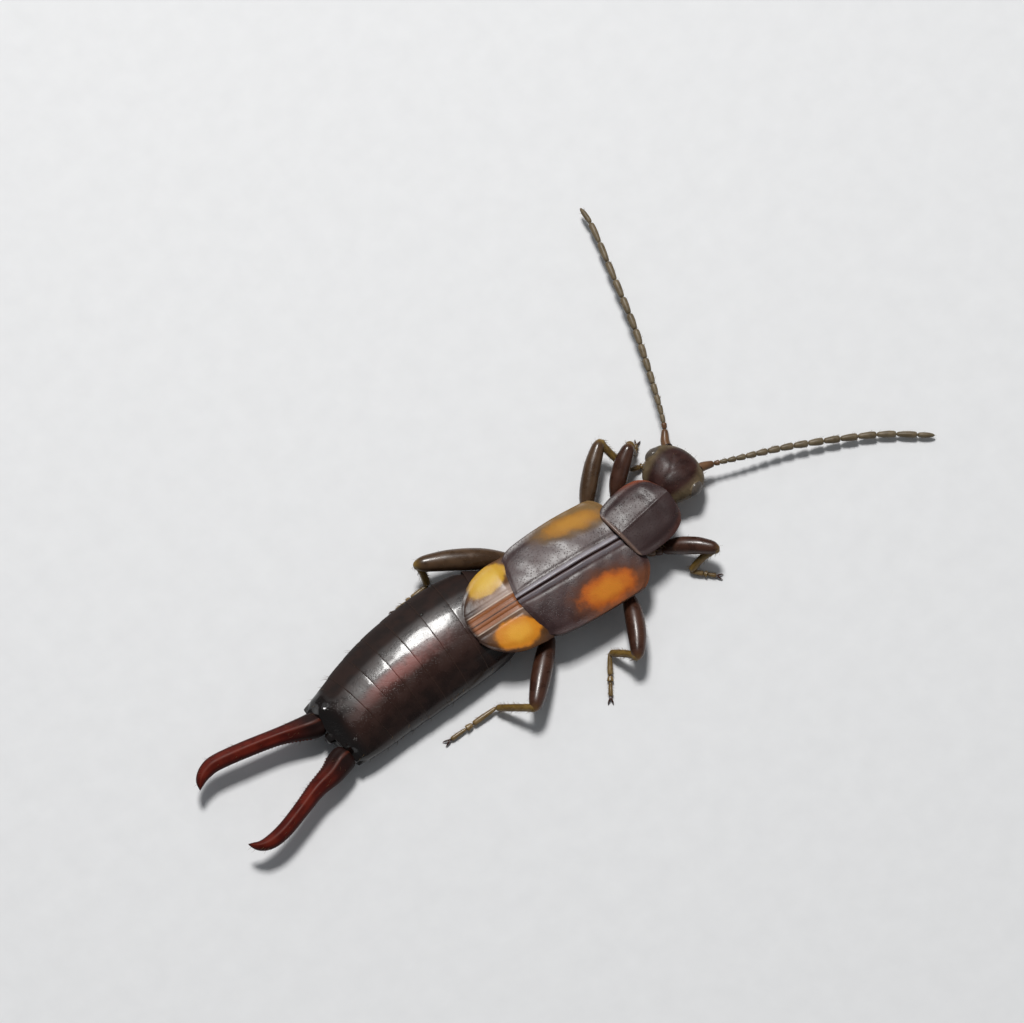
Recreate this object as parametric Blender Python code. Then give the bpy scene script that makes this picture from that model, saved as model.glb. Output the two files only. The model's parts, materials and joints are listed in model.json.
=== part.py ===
"""An earwig at rest, life size, as a still model for a display.

The frame: +X runs forward along the body, +Y to the animal's left, +Z up. The floor is z = 0 and the
origin lies on it, under the middle of the whole animal with its feelers and legs spread. The belly
and the feet rest on the floor. Each plate or limb is modelled along its own line, because the body
bends a little from the head to the forceps.
"""

import math

import bmesh
import bpy
import numpy as np
from mathutils import Vector

MM = 0.001
GAP = 0.25 * MM
SOCKET_GAP = 0.10 * MM
PLATE_THICK = 0.5 * MM

# Where each length of the body starts, as x and y, and which way it heads from +X.
HEAD_BACK = (6.40 * MM, -3.33 * MM)
HEAD_TURN = math.radians(12)
PRONOTUM_BACK = (3.65 * MM, -4.10 * MM)
PRONOTUM_TURN = math.radians(6)
WINGS_BACK = (-1.72 * MM, -3.68 * MM)
WINGS_TURN = math.radians(-5.5)

# The head: forward from the neck, half width, height of its middle, rise and drop from there.
HEAD_RINGS = (
    (0.00, 0.55, 1.08, 0.20, 0.20),
    (0.10, 0.84, 1.09, 0.28, 0.26),
    (0.28, 1.14, 1.11, 0.38, 0.31),
    (0.60, 1.36, 1.14, 0.52, 0.36),
    (0.95, 1.46, 1.15, 0.61, 0.38),
    (1.30, 1.49, 1.15, 0.62, 0.38),
    (1.65, 1.39, 1.13, 0.58, 0.37),
    (1.98, 1.14, 1.11, 0.50, 0.34),
    (2.22, 0.82, 1.08, 0.40, 0.30),
    (2.38, 0.50, 1.05, 0.28, 0.24),
)
EYE_FORWARD = 1.34 * MM
EYE_OUT = 1.32 * MM
EYE_HIGH = 1.24 * MM
EYE_HALVES = (0.33 * MM, 0.25 * MM, 0.29 * MM)

# The mouthparts below and before the head, in its own line.
MOUTH_BASE_RINGS = (
    (1.00, 0.36, 0.36, 0.10, 0.10),
    (1.20, 0.54, 0.36, 0.13, 0.13),
    (1.70, 0.62, 0.36, 0.13, 0.14),
    (2.06, 0.52, 0.38, 0.13, 0.14),
    (2.22, 0.40, 0.42, 0.10, 0.12),
)
LABRUM_SIZE = (0.34 * MM, 0.72 * MM, 0.40 * MM)
LABRUM_PLACE = (2.27 * MM, 0.44 * MM)
PALP_HALF = 0.14 * MM
PALP_LINE = ((1.70, 0.44, 0.34), (1.86, 0.78, 0.30), (2.12, 0.86, 0.34), (2.36, 0.70, 0.26))

# The feelers: the socket in the head's own line, and the line from there to the tip in the part's frame.
FEELER_SOCKET = (1.92 * MM, 0.74 * MM, 1.04 * MM)
LEFT_FEELER_LINE = (
    (8.28, -1.62, 1.00),
    (8.82, -0.84, 1.02),
    (9.75, 1.17, 1.00),
    (10.63, 3.50, 0.92),
    (11.46, 6.23, 0.80),
    (12.14, 8.55, 0.66),
    (12.28, 9.60, 0.58),
)
RIGHT_FEELER_LINE = (
    (8.88, -3.54, 0.98),
    (10.40, -4.18, 0.88),
    (12.61, -5.11, 0.64),
    (14.91, -6.30, 0.42),
    (16.45, -7.23, 0.31),
    (17.84, -8.35, 0.27),
    (18.16, -8.62, 0.26),
)
FEELER_JOINTS = 16
FEELER_HALF = 0.24 * MM
FEELER_TIP_HALF = 0.14 * MM

# The pronotum: forward from its hind edge and half width.
PRONOTUM_EDGE = (
    (0.00, 0.62),
    (0.12, 1.02),
    (0.45, 1.42),
    (0.85, 1.56),
    (1.40, 1.61),
    (2.05, 1.51),
    (2.46, 1.27),
    (2.70, 0.92),
)
PRONOTUM_TOP = 2.30 * MM
PRONOTUM_DROP = 0.42 * MM
PRONOTUM_END_DROP = 0.06 * MM
GROOVE_DEEP = 0.05 * MM
GROOVE_WIDE = 0.10

# The fore body under the pronotum with the neck, and the mid and hind body under the wings.
FOREBODY_RINGS = (
    (0.20, 0.85, 1.00, 0.45, 0.45),
    (0.60, 1.10, 1.00, 0.52, 0.52),
    (1.80, 1.05, 1.00, 0.52, 0.50),
    (2.30, 0.66, 1.02, 0.36, 0.34),
    (2.52, 0.46, 1.05, 0.26, 0.26),
    (2.62, 0.40, 1.06, 0.22, 0.22),
)
HINDBODY_RINGS = (
    (0.95, 1.10, 1.00, 0.50, 0.50),
    (1.60, 1.42, 1.00, 0.55, 0.58),
    (3.00, 1.50, 1.00, 0.55, 0.60),
    (4.60, 1.45, 1.00, 0.55, 0.55),
    (5.05, 1.15, 1.00, 0.50, 0.45),
)

# The fore wings: forward from the hind end of their seam and half width out to the keel.
TEGMEN_KEEL = (
    (0.42, 2.02),
    (1.10, 2.33),
    (2.20, 2.44),
    (3.40, 2.46),
    (4.40, 2.43),
    (5.20, 2.38),
    (6.00, 2.30),
)
TEGMEN_BACK = 0.46 * MM
KEEL_SHARE = 0.78
FLANK_LEAN = 0.06 * MM
KEEL_WALL = 0.45 * MM
FLANK_WALL = 0.26 * MM
KEEL_LIFT = 0.14 * MM
FRONT_DROP = 0.16 * MM
FRONT_DROP_START = 0.85
SEAM_HIGH = 2.38 * MM
KEEL_HIGH = 1.88 * MM
FLANK_DROP = 0.36 * MM
RIDGE_HIGH = 0.07 * MM
RIDGE_WIDE = 0.10

# Where each fore wing ends in front, by its share of the way out to the keel.
TEGMEN_FRONTS = {
    "left": ((0.0, 5.10), (0.40, 5.05), (0.60, 5.14), (0.75, 5.32), (0.90, 5.38), (1.0, 5.20)),
    "right": ((0.0, 5.12), (0.20, 5.26), (0.45, 5.58), (0.60, 5.70), (0.80, 5.68), (0.92, 5.48), (1.0, 5.22)),
}

# The tips of the folded hind wings behind them: back from the fore wings' seam and half width.
WING_TIP_EDGE = ((0.00, 2.18), (0.75, 2.06), (1.50, 1.76), (2.05, 1.38), (2.34, 0.90), (2.46, 0.30))
WING_TIP_HIGH = 2.33 * MM
WING_TIP_SINK = 0.20 * MM
WING_TIP_DROP = 0.42 * MM
WING_TIP_VEINS = (0.30, 0.62)
VEIN_WIDE = 0.09
ROOM_GROW = 1.6 * GAP
ROOM_EXTRA = 2.8 * GAP

# The abdomen, from its front to its end: x, y and height of its middle line, half width, top and bottom.
ABDOMEN_LINE = (
    (-1.20, -3.55, 0.75, 1.15, 1.45, 0.30),
    (-2.00, -3.28, 0.74, 1.60, 1.75, 0.10),
    (-2.70, -3.10, 0.73, 1.98, 1.93, 0.02),
    (-3.40, -2.98, 0.72, 2.30, 2.03, -0.03),
    (-5.00, -2.84, 0.72, 2.48, 2.12, -0.06),
    (-6.50, -2.84, 0.72, 2.45, 2.12, -0.06),
    (-8.00, -2.89, 0.72, 2.35, 2.06, -0.06),
    (-9.40, -3.03, 0.74, 2.18, 1.98, -0.02),
    (-10.60, -3.20, 0.82, 1.99, 1.88, 0.08),
    (-11.68, -3.30, 0.95, 1.78, 1.70, 0.22),
)
SEGMENTS_BACK = (0.085, 0.185, 0.295, 0.415, 0.535, 0.64, 0.735, 0.83)
SEGMENT_STEP = 0.03 * MM
ABDOMEN_SIDES = 28

# Along the pygidium, from the abdomen's end: forward, half width, rise and drop, about its own middle.
PYGIDIUM_ROWS = ((0.30, 0.16, 0.34, 0.30), (-0.05, 0.16, 0.32, 0.28), (-0.40, 0.10, 0.20, 0.18))
PYGIDIUM_MIDDLE = (-3.43 * MM, 1.05 * MM)

# The forceps: line of each blade from its root, with half width and half height.
LEFT_BLADE_LINE = (
    (-12.08, -2.42, 1.02, 0.62, 0.50),
    (-12.22, -2.38, 1.03, 0.62, 0.49),
    (-12.80, -2.17, 1.10, 0.50, 0.40),
    (-13.75, -1.86, 1.18, 0.42, 0.33),
    (-15.20, -1.47, 1.24, 0.39, 0.30),
    (-16.50, -1.18, 1.24, 0.38, 0.29),
    (-17.20, -1.20, 1.22, 0.34, 0.27),
    (-17.72, -1.42, 1.20, 0.25, 0.24),
    (-18.12, -1.80, 1.18, 0.07, 0.08),
)
RIGHT_BLADE_LINE = (
    (-11.94, -4.40, 1.02, 0.62, 0.50),
    (-12.18, -4.46, 1.03, 0.64, 0.49),
    (-12.80, -4.68, 1.10, 0.54, 0.42),
    (-13.75, -4.84, 1.18, 0.44, 0.34),
    (-14.90, -5.18, 1.24, 0.37, 0.30),
    (-16.00, -5.50, 1.24, 0.36, 0.29),
    (-16.85, -5.62, 1.22, 0.34, 0.27),
    (-17.50, -5.44, 1.20, 0.25, 0.24),
    (-17.96, -4.98, 1.18, 0.07, 0.08),
)
BLADE_TEETH = 6
BLADE_SQUARENESS = 1.8
TOOTH_LONG = 0.10 * MM
TOOTH_ROOT = 0.12 * MM

# The legs: hip, knee, ankle and toe, with the way that the hip grows out of the body.
LEGS = {
    "front_left": ((4.72, -2.58, 0.76), (6.82, -0.90, 1.55), (7.00, -1.00, 0.28), (7.34, -0.74, 0.16)),
    "front_right": ((4.88, -5.26, 0.76), (6.94, -7.02, 1.34), (5.58, -6.87, 0.26), (6.40, -7.73, 0.16)),
    "middle_left": ((3.22, -2.36, 0.74), (5.90, 0.10, 1.34), (6.38, -1.54, 0.36), (7.28, -1.76, 0.16)),
    "middle_right": ((2.68, -5.88, 0.76), (1.05, -8.79, 1.34), (0.38, -7.66, 0.30), (-0.84, -9.28, 0.16)),
    "hind_left": ((-0.22, -1.94, 0.72), (-4.03, 0.56, 1.38), (-4.06, -0.20, 0.32), (-5.90, -0.20, 0.16)),
    "hind_right": ((-1.02, -5.22, 0.66), (-3.96, -7.85, 1.34), (-5.14, -6.54, 0.30), (-7.66, -6.43, 0.16)),
}
HIP_BASES = {
    "front_left": (4.35, -3.30, 0.80),
    "front_right": (4.40, -4.55, 0.80),
    "middle_left": (2.95, -3.20, 0.80),
    "middle_right": (2.75, -5.00, 0.80),
    "hind_left": (0.15, -2.95, 0.80),
    "hind_right": (-0.25, -4.70, 0.80),
}
HIP_HALF = 0.40 * MM
THIGH_RINGS = ((0.0, 0.26), (0.10, 0.34), (0.35, 0.41), (0.70, 0.40), (0.93, 0.33), (1.0, 0.24))
SHIN_RINGS = ((0.0, 0.22), (0.12, 0.24), (0.60, 0.22), (1.0, 0.20))
FOOT_PARTS = (0.0, 0.52, 0.66, 1.0)
FOOT_HALF = 0.18 * MM
CLAW_LONG = 0.34 * MM
CLAW_SPREAD = math.radians(38)

ROUND_SIDES = 12
LIMB_SIDES = 10
FEELER_SIDES = 8


def clear_scene():
    for thing in list(bpy.data.objects):
        bpy.data.objects.remove(thing)


def finish(name, colour, roughness):
    """A plain glossy or dull coat of one colour."""
    coat = bpy.data.materials.new(name)
    coat.use_nodes = True
    shader = coat.node_tree.nodes["Principled BSDF"]
    shader.inputs["Base Color"].default_value = (*colour, 1.0)
    shader.inputs["Roughness"].default_value = roughness
    coat.diffuse_color = (*colour, 1.0)
    return coat


def soft_rows(rows, count):
    """count rows at even steps along a soft curve through the given ones, in any number of columns."""
    rows = np.array(rows, float)
    padded = np.vstack([2 * rows[0] - rows[1], rows, 2 * rows[-1] - rows[-2]])
    fine = []
    for a, b, c, d in zip(padded, padded[1:], padded[2:], padded[3:]):
        for t in np.linspace(0, 1, 24, endpoint=False):
            turn = (c - a) * t + (2 * a - 5 * b + 4 * c - d) * t**2 + (3 * b - a - 3 * c + d) * t**3
            fine.append(b + turn / 2)
    fine = np.array([*fine, rows[-1]])
    steps = np.linalg.norm(np.diff(fine[:, :3], axis=0), axis=1)
    gone = np.concatenate([[0], np.cumsum(steps)])
    wanted = np.linspace(0, gone[-1], count)
    return np.stack([np.interp(wanted, gone, column) for column in fine.T], axis=1)


def placed(start, turn, forward, out):
    """x and y of a point given forward and to the left of a length of the body."""
    x = start[0] + forward * math.cos(turn) - out * math.sin(turn)
    y = start[1] + forward * math.sin(turn) + out * math.cos(turn)
    return x, y


def new_object(name, mesh, coat):
    thing = bpy.data.objects.new(name, mesh)
    thing.data.materials.clear()
    thing.data.materials.append(coat)
    bpy.data.collections["Earwig"].objects.link(thing)
    return thing


def lofted(name, rings, sides, coat, squareness=2.0):
    """A closed body through upright rings: each row is x, y, z, half width, rise and drop, in metres."""
    rings = np.array(rings, float)
    along = np.gradient(rings[:, :3], axis=0)
    shape = bmesh.new()
    loops = []
    for row, heading in zip(rings, along):
        heading = Vector(heading).normalized()
        across = Vector((0, 0, 1)).cross(heading).normalized()
        upward = heading.cross(across)
        loop = []
        for step in range(sides):
            angle = 2 * math.pi * step / sides
            out = math.copysign(abs(math.cos(angle)) ** (2 / squareness), math.cos(angle))
            rise = math.copysign(abs(math.sin(angle)) ** (2 / squareness), math.sin(angle))
            high = rise * (row[4] if rise > 0 else row[5])
            loop.append(shape.verts.new(Vector(row[:3]) + across * out * row[3] + upward * high))
        loops.append(loop)
    for first, second in zip(loops, loops[1:]):
        for step in range(sides):
            after = (step + 1) % sides
            shape.faces.new((first[step], first[after], second[after], second[step]))
    shape.faces.new(loops[0])
    shape.faces.new(reversed(loops[-1]))
    bmesh.ops.recalc_face_normals(shape, faces=shape.faces)
    mesh = bpy.data.meshes.new(name)
    shape.to_mesh(mesh)
    shape.free()
    mesh.shade_smooth()
    return new_object(name, mesh, coat)


def limb(name, line, sides, coat):
    """A round tapered body: each row is x, y, z and half thickness, in metres."""
    return lofted(name, [(*row[:3], row[3], row[3], row[3]) for row in line], sides, coat)


def body_rings(start, turn, rings):
    """Rings of a length of the body, from rows of forward, half width, height, rise and drop in mm."""
    rows = []
    for forward, half, high, rise, drop in rings:
        x, y = placed(start, turn, forward * MM, 0)
        rows.append((x, y, high * MM, half * MM, rise * MM, drop * MM))
    return rows


def plate(name, columns, rows, outer, inner, coat):
    """A closed shell between two rules, which each place a corner at its shares (u, v) of the plate."""
    shape = bmesh.new()
    bmesh.ops.create_grid(shape, x_segments=columns, y_segments=rows, size=0.5)
    copied = bmesh.ops.extrude_face_region(shape, geom=shape.faces[:])["geom"]
    lower = {part for part in copied if isinstance(part, bmesh.types.BMVert)}
    for corner in shape.verts:
        rule = inner if corner in lower else outer
        corner.co = rule(corner.co.x + 0.5, corner.co.y + 0.5)
    bmesh.ops.recalc_face_normals(shape, faces=shape.faces)
    if shape.calc_volume(signed=True) < 0:
        bmesh.ops.reverse_faces(shape, faces=shape.faces)
    mesh = bpy.data.meshes.new(name)
    shape.to_mesh(mesh)
    shape.free()
    return new_object(name, mesh, coat)


def lowered(surface, thick):
    """The same rule, set straight down by the plate's thickness."""

    def under(u, v):
        x, y, high = surface(u, v)
        return x, y, high - thick

    return under


def apply(thing, modifier):
    bpy.context.view_layer.objects.active = thing
    bpy.ops.object.modifier_apply(modifier=modifier.name)


def cut(thing, cutter):
    """Takes the cutter's shape out of the thing, and removes the cutter."""
    difference = thing.modifiers.new("Cut", "BOOLEAN")
    difference.object = cutter
    difference.operation = "DIFFERENCE"
    difference.solver = "MANIFOLD"
    apply(thing, difference)
    bpy.data.objects.remove(cutter)


def fused(pieces):
    """One body from overlapping pieces. The first keeps its name."""
    group = bpy.data.collections.new("Pieces")
    bpy.context.scene.collection.children.link(group)
    for piece in pieces[1:]:
        group.objects.link(piece)
    union = pieces[0].modifiers.new("Fuse", "BOOLEAN")
    union.operand_type = "COLLECTION"
    union.collection = group
    union.operation = "UNION"
    union.solver = "MANIFOLD"
    apply(pieces[0], union)
    for piece in pieces[1:]:
        bpy.data.objects.remove(piece)
    bpy.data.collections.remove(group)
    keep_largest(pieces[0])
    return pieces[0]


def keep_largest(thing):
    """Leaves only the thing's largest closed surface."""
    shape = bmesh.new()
    shape.from_mesh(thing.data)
    left = set(shape.verts)
    islands = []
    while left:
        island, edge = set(), [left.pop()]
        while edge:
            corner = edge.pop()
            island.add(corner)
            for side in corner.link_edges:
                other = side.other_vert(corner)
                if other in left:
                    left.remove(other)
                    edge.append(other)
        islands.append(island)
    islands.sort(key=len)
    for island in islands[:-1]:
        bmesh.ops.delete(shape, geom=list(island), context="VERTS")
    shape.to_mesh(thing.data)
    shape.free()


def set_on_floor(thing):
    """Cuts off what reaches below the floor, which leaves small flats to rest on."""
    shape = bmesh.new()
    shape.from_mesh(thing.data)
    everything = shape.verts[:] + shape.edges[:] + shape.faces[:]
    cut_edges = bmesh.ops.bisect_plane(
        shape, geom=everything, plane_co=(0, 0, 0), plane_no=(0, 0, -1), clear_outer=True
    )["geom_cut"]
    rims = [part for part in cut_edges if isinstance(part, bmesh.types.BMEdge)]
    bmesh.ops.holes_fill(shape, edges=rims)
    bmesh.ops.recalc_face_normals(shape, faces=shape.faces)
    shape.to_mesh(thing.data)
    shape.free()


def along_edge(table, forward):
    """Half width at a distance along a plate, from its table in mm."""
    where, halves = zip(*table)
    return float(np.interp(forward / MM, where, halves)) * MM


def ball(name, place, halves, turn, coat):
    shape = bmesh.new()
    bmesh.ops.create_uvsphere(shape, u_segments=14, v_segments=9, radius=1.0)
    bmesh.ops.scale(shape, vec=halves, verts=shape.verts)
    mesh = bpy.data.meshes.new(name)
    shape.to_mesh(mesh)
    shape.free()
    mesh.shade_smooth()
    thing = new_object(name, mesh, coat)
    thing.location = place
    thing.rotation_euler.z = turn
    return thing


def make_head(coat, eye_coat):
    head = lofted("head", soft_rows(body_rings(HEAD_BACK, HEAD_TURN, HEAD_RINGS), 18), 24, coat, 2.2)
    for side, word in ((1, "left"), (-1, "right")):
        x, y = placed(HEAD_BACK, HEAD_TURN, EYE_FORWARD, side * EYE_OUT)
        room = [half + SOCKET_GAP for half in EYE_HALVES]
        cut(head, ball("eye_room", (x, y, EYE_HIGH), room, HEAD_TURN, coat))
        ball(f"eye_{word}", (x, y, EYE_HIGH), EYE_HALVES, HEAD_TURN, eye_coat)
    return head


def make_mouthparts(coat):
    base = lofted("mouthparts", body_rings(HEAD_BACK, HEAD_TURN, MOUTH_BASE_RINGS), ROUND_SIDES, coat, 2.6)
    pieces = [base]
    x, y = placed(HEAD_BACK, HEAD_TURN, LABRUM_PLACE[0], 0)
    halves = [size / 2 for size in LABRUM_SIZE]
    pieces.append(ball("labrum", (x, y, LABRUM_PLACE[1]), halves, HEAD_TURN, coat))
    for side in (1, -1):
        line = []
        for forward, out, high in PALP_LINE:
            x, y = placed(HEAD_BACK, HEAD_TURN, forward * MM, side * out * MM)
            line.append((x, y, high * MM, PALP_HALF))
        line[-1] = (*line[-1][:3], PALP_HALF / 2)
        pieces.append(limb("palp", soft_rows(line, 8), 6, coat))
    return fused(pieces)


def feeler_rows(line):
    """Beads along a feeler: a long first joint, a short second, and the rest longer towards the tip."""
    shares = [1.25, 0.42] + [0.62 + 0.045 * n for n in range(FEELER_JOINTS - 2)]
    ends = np.concatenate([[0], np.cumsum(shares)]) / sum(shares)
    smooth = soft_rows(line, 200)
    rows = []
    for number, (start, end) in enumerate(zip(ends, ends[1:])):
        half = FEELER_HALF + (FEELER_TIP_HALF - FEELER_HALF) * max(0.0, (start - 0.6) / 0.4)
        for share, swell in ((0.0, 0.74), (0.3, 0.96), (0.75, 1.0)):
            place = smooth[round((start + (end - start) * share) * 199)]
            rows.append((*place, half * (swell if number else max(swell, 0.95))))
    rows.append((*smooth[-1], FEELER_TIP_HALF * 0.5))
    return rows


def make_feeler(word, side, line, head, coat):
    x, y = placed(HEAD_BACK, HEAD_TURN, FEELER_SOCKET[0], side * FEELER_SOCKET[1])
    rows = feeler_rows([(x, y, FEELER_SOCKET[2]), *([number * MM for number in row] for row in line)])
    room = [(*row[:3], row[3] + SOCKET_GAP) for row in rows[:6]]
    back = Vector(room[0][:3]) - (Vector(room[1][:3]) - Vector(room[0][:3])).normalized() * SOCKET_GAP
    cut(head, limb("socket", [(*back, room[0][3]), *room], FEELER_SIDES, coat))
    return limb(f"antenna_{word}", rows, FEELER_SIDES, coat)


def make_pronotum(coat):
    long = PRONOTUM_EDGE[-1][0] * MM

    def surface(u, v):
        forward = long * u
        half = along_edge(PRONOTUM_EDGE, forward)
        out = (2 * v - 1) * half
        side = abs(2 * v - 1)
        fall = PRONOTUM_DROP * side**2.2 * (0.75 + 0.25 * u) + PRONOTUM_END_DROP * abs(2 * u - 1) ** 3
        groove = GROOVE_DEEP * math.exp(-((side / GROOVE_WIDE) ** 2))
        return (*placed(PRONOTUM_BACK, PRONOTUM_TURN, forward, out), PRONOTUM_TOP - fall - groove)

    return plate("pronotum", 14, 12, surface, lowered(surface, PLATE_THICK), coat)


def make_trunks(coat):
    """The two lengths of body under the plates, each with the hips of its legs."""
    forebody = lofted("forebody", body_rings(PRONOTUM_BACK, PRONOTUM_TURN, FOREBODY_RINGS), 16, coat, 2.4)
    hindbody = lofted("hindbody", body_rings(WINGS_BACK, WINGS_TURN, HINDBODY_RINGS), 16, coat, 2.4)
    hips = {"fore": [forebody], "hind": [hindbody]}
    for name, base in HIP_BASES.items():
        end = Vector(LEGS[name][0]) * MM
        before = end - (Vector(LEGS[name][1]) * MM - end).normalized() * HIP_HALF / 2
        line = [(*(Vector(base) * MM).lerp(before, share), HIP_HALF * swell)
                for share, swell in ((0.0, 0.9), (0.5, 1.05), (0.9, 1.0))]
        line += [(*before, HIP_HALF * 0.9), (*end, HIP_HALF * 0.7)]
        hips["fore" if name.startswith("front") else "hind"].append(limb("hip", line, LIMB_SIDES, coat))
    return [fused(group) for group in hips.values()]


def make_leg(name, coat):
    hip, knee, ankle, toe = (Vector(point) * MM for point in LEGS[name])
    way = (knee - hip).normalized()
    root = hip + way * GAP
    thigh_rows = [(*root.lerp(knee, share), half * MM) for share, half in THIGH_RINGS]
    pieces = [limb(f"leg_{name}", thigh_rows, LIMB_SIDES, coat)]
    start = knee - way * 0.20 * MM
    shin_rows = [(*start.lerp(ankle, share), half * MM) for share, half in SHIN_RINGS]
    pieces.append(limb("shin", shin_rows, LIMB_SIDES, coat))
    foot_way = (toe - ankle).normalized()
    heel = ankle - foot_way * 0.10 * MM
    foot_rows = []
    for begin, end in zip(FOOT_PARTS, FOOT_PARTS[1:]):
        for share, swell in ((0.0, 0.72), (0.25, 0.9), (0.8, 1.0)):
            place = heel.lerp(toe, begin + (end - begin) * share)
            foot_rows.append((*place, FOOT_HALF * swell))
    foot_rows.append((*toe, FOOT_HALF * 0.6))
    pieces.append(limb("foot", foot_rows, FEELER_SIDES, coat))
    for side in (1, -1):
        angle = math.atan2(foot_way.y, foot_way.x) + side * CLAW_SPREAD
        tip = toe + Vector((math.cos(angle), math.sin(angle), -0.10)) * CLAW_LONG
        inside = toe - foot_way * 0.10 * MM
        line = [(*inside.lerp(tip, share), half * MM) for share, half in ((0, 0.10), (0.6, 0.08), (1, 0.03))]
        pieces.append(limb("claw", line, 6, coat))
    leg = fused(pieces)
    set_on_floor(leg)
    return leg


def make_fore_wing(word, side, coat):
    """The leathery fore wing: from the seam out to its keel, then down the flank."""
    where, fronts = zip(*TEGMEN_FRONTS[word])

    def shares(u, v):
        """How far forward a corner lies, its share of the way out, the keel there and its share down."""
        reach = min(v / KEEL_SHARE, 1.0)
        front = float(np.interp(reach, where, fronts)) * MM
        back = TEGMEN_BACK * reach**1.4
        forward = back + (front - back) * u
        down = max(0.0, v - KEEL_SHARE) / (1 - KEEL_SHARE)
        return forward, reach, along_edge(TEGMEN_KEEL, forward), down

    def outer(u, v):
        forward, reach, keel, down = shares(u, v)
        out = GAP / 2 + (keel - GAP / 2) * reach - FLANK_LEAN * down
        high = SEAM_HIGH - (SEAM_HIGH - KEEL_HIGH) * reach**1.8 - FLANK_DROP * down
        high += RIDGE_HIGH * math.exp(-(((reach - 1.0) / RIDGE_WIDE) ** 2))
        high -= FRONT_DROP * max(0.0, (u - FRONT_DROP_START) / (1 - FRONT_DROP_START)) ** 2
        return (*placed(WINGS_BACK, WINGS_TURN, forward, side * out), high)

    def inner(u, v):
        forward, reach, keel, down = shares(u, v)
        edge = keel - KEEL_WALL + (KEEL_WALL - FLANK_WALL - FLANK_LEAN) * down
        out = GAP / 2 + (edge - GAP / 2) * reach
        high = SEAM_HIGH - PLATE_THICK - (SEAM_HIGH - KEEL_HIGH) * reach**1.8 + KEEL_LIFT * reach**2
        high -= FRONT_DROP * max(0.0, (u - FRONT_DROP_START) / (1 - FRONT_DROP_START)) ** 2
        return (*placed(WINGS_BACK, WINGS_TURN, forward, side * out), high)

    return plate(f"fore_wing_{word}", 14, 11, outer, inner, coat)


def wing_tip_surface(side, grow):
    """The hind wing's folded tip, made larger all round by grow for the room that it needs."""
    long = WING_TIP_EDGE[-1][0] * MM

    def surface(u, v):
        start = TEGMEN_BACK * v**1.4 - GAP + grow
        back = (long + grow) * (1 - 0.10 * v**2)
        forward = start - (start + back) * u
        half = along_edge(WING_TIP_EDGE, max(0.0, min(-forward, long))) + grow
        out = GAP / 2 - grow + (half - GAP / 2 + grow) * v
        fall = WING_TIP_DROP * (max(out, 0.0) / (WING_TIP_EDGE[0][1] * MM)) ** 2.2
        high = WING_TIP_HIGH - WING_TIP_SINK * u - fall + grow
        for vein in WING_TIP_VEINS:
            high += RIDGE_HIGH * math.exp(-(((v - vein) / VEIN_WIDE) ** 2))
        return (*placed(WINGS_BACK, WINGS_TURN, forward, side * out), high)

    return surface


def make_wing_tip(word, side, abdomen, coat):
    room = wing_tip_surface(side, ROOM_GROW)
    cut(abdomen, plate("wing_room", 10, 10, room, lowered(room, PLATE_THICK + ROOM_EXTRA), coat))
    tip = wing_tip_surface(side, 0.0)
    return plate(f"wing_tip_{word}", 12, 12, tip, lowered(tip, PLATE_THICK), coat)


def abdomen_rows():
    """Rings of the abdomen: each segment widens to its hind edge and steps in to the next."""
    line = soft_rows(ABDOMEN_LINE, 241) * MM
    edges = (0.0, *SEGMENTS_BACK, 1.0)
    rows = []
    for front, back in zip(edges, edges[1:]):
        for share, swell in ((0.03, -0.75), (0.5, 0.0), (0.93, 0.45), (0.985, 0.10)):
            x, y, middle, half, top, bottom = line[round((front + (back - front) * share) * 240)]
            step = swell * SEGMENT_STEP
            rows.append((x, y, middle, half + step, top - middle + step, middle - bottom + step))
    return rows


def make_abdomen(coat):
    rows = abdomen_rows()
    body = lofted("abdomen", rows, ABDOMEN_SIDES, coat, 2.15)
    tail = [(rows[-1][0] + forward * MM, *PYGIDIUM_MIDDLE, half * MM, rise * MM, drop * MM)
            for forward, half, rise, drop in PYGIDIUM_ROWS]
    pygidium = lofted("pygidium", tail, 8, coat)
    abdomen = fused([body, pygidium])
    set_on_floor(abdomen)
    return abdomen


def make_blade(word, side, line, coat):
    """One blade of the forceps with the small teeth of its inner edge."""
    line = [[number * MM for number in row] for row in line]
    rows = [(*row[:4], row[4], row[4]) for row in soft_rows(line, 22)]
    pieces = [lofted(f"forceps_{word}", rows, ROUND_SIDES, coat, BLADE_SQUARENESS)]
    for number in range(BLADE_TEETH):
        row = rows[3 + 2 * number]
        way = Vector(rows[4 + 2 * number][:3]) - Vector(row[:3])
        inward = Vector((0, 0, 1)).cross(way).normalized() * side
        root = Vector(row[:3]) + inward * (row[3] - TOOTH_ROOT)
        tip = Vector(row[:3]) + inward * (row[3] + TOOTH_LONG * (1 - 0.09 * number))
        pieces.append(limb("tooth", [(*root, TOOTH_ROOT), (*tip, TOOTH_ROOT / 4)], 5, coat))
    return fused(pieces)


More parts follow.
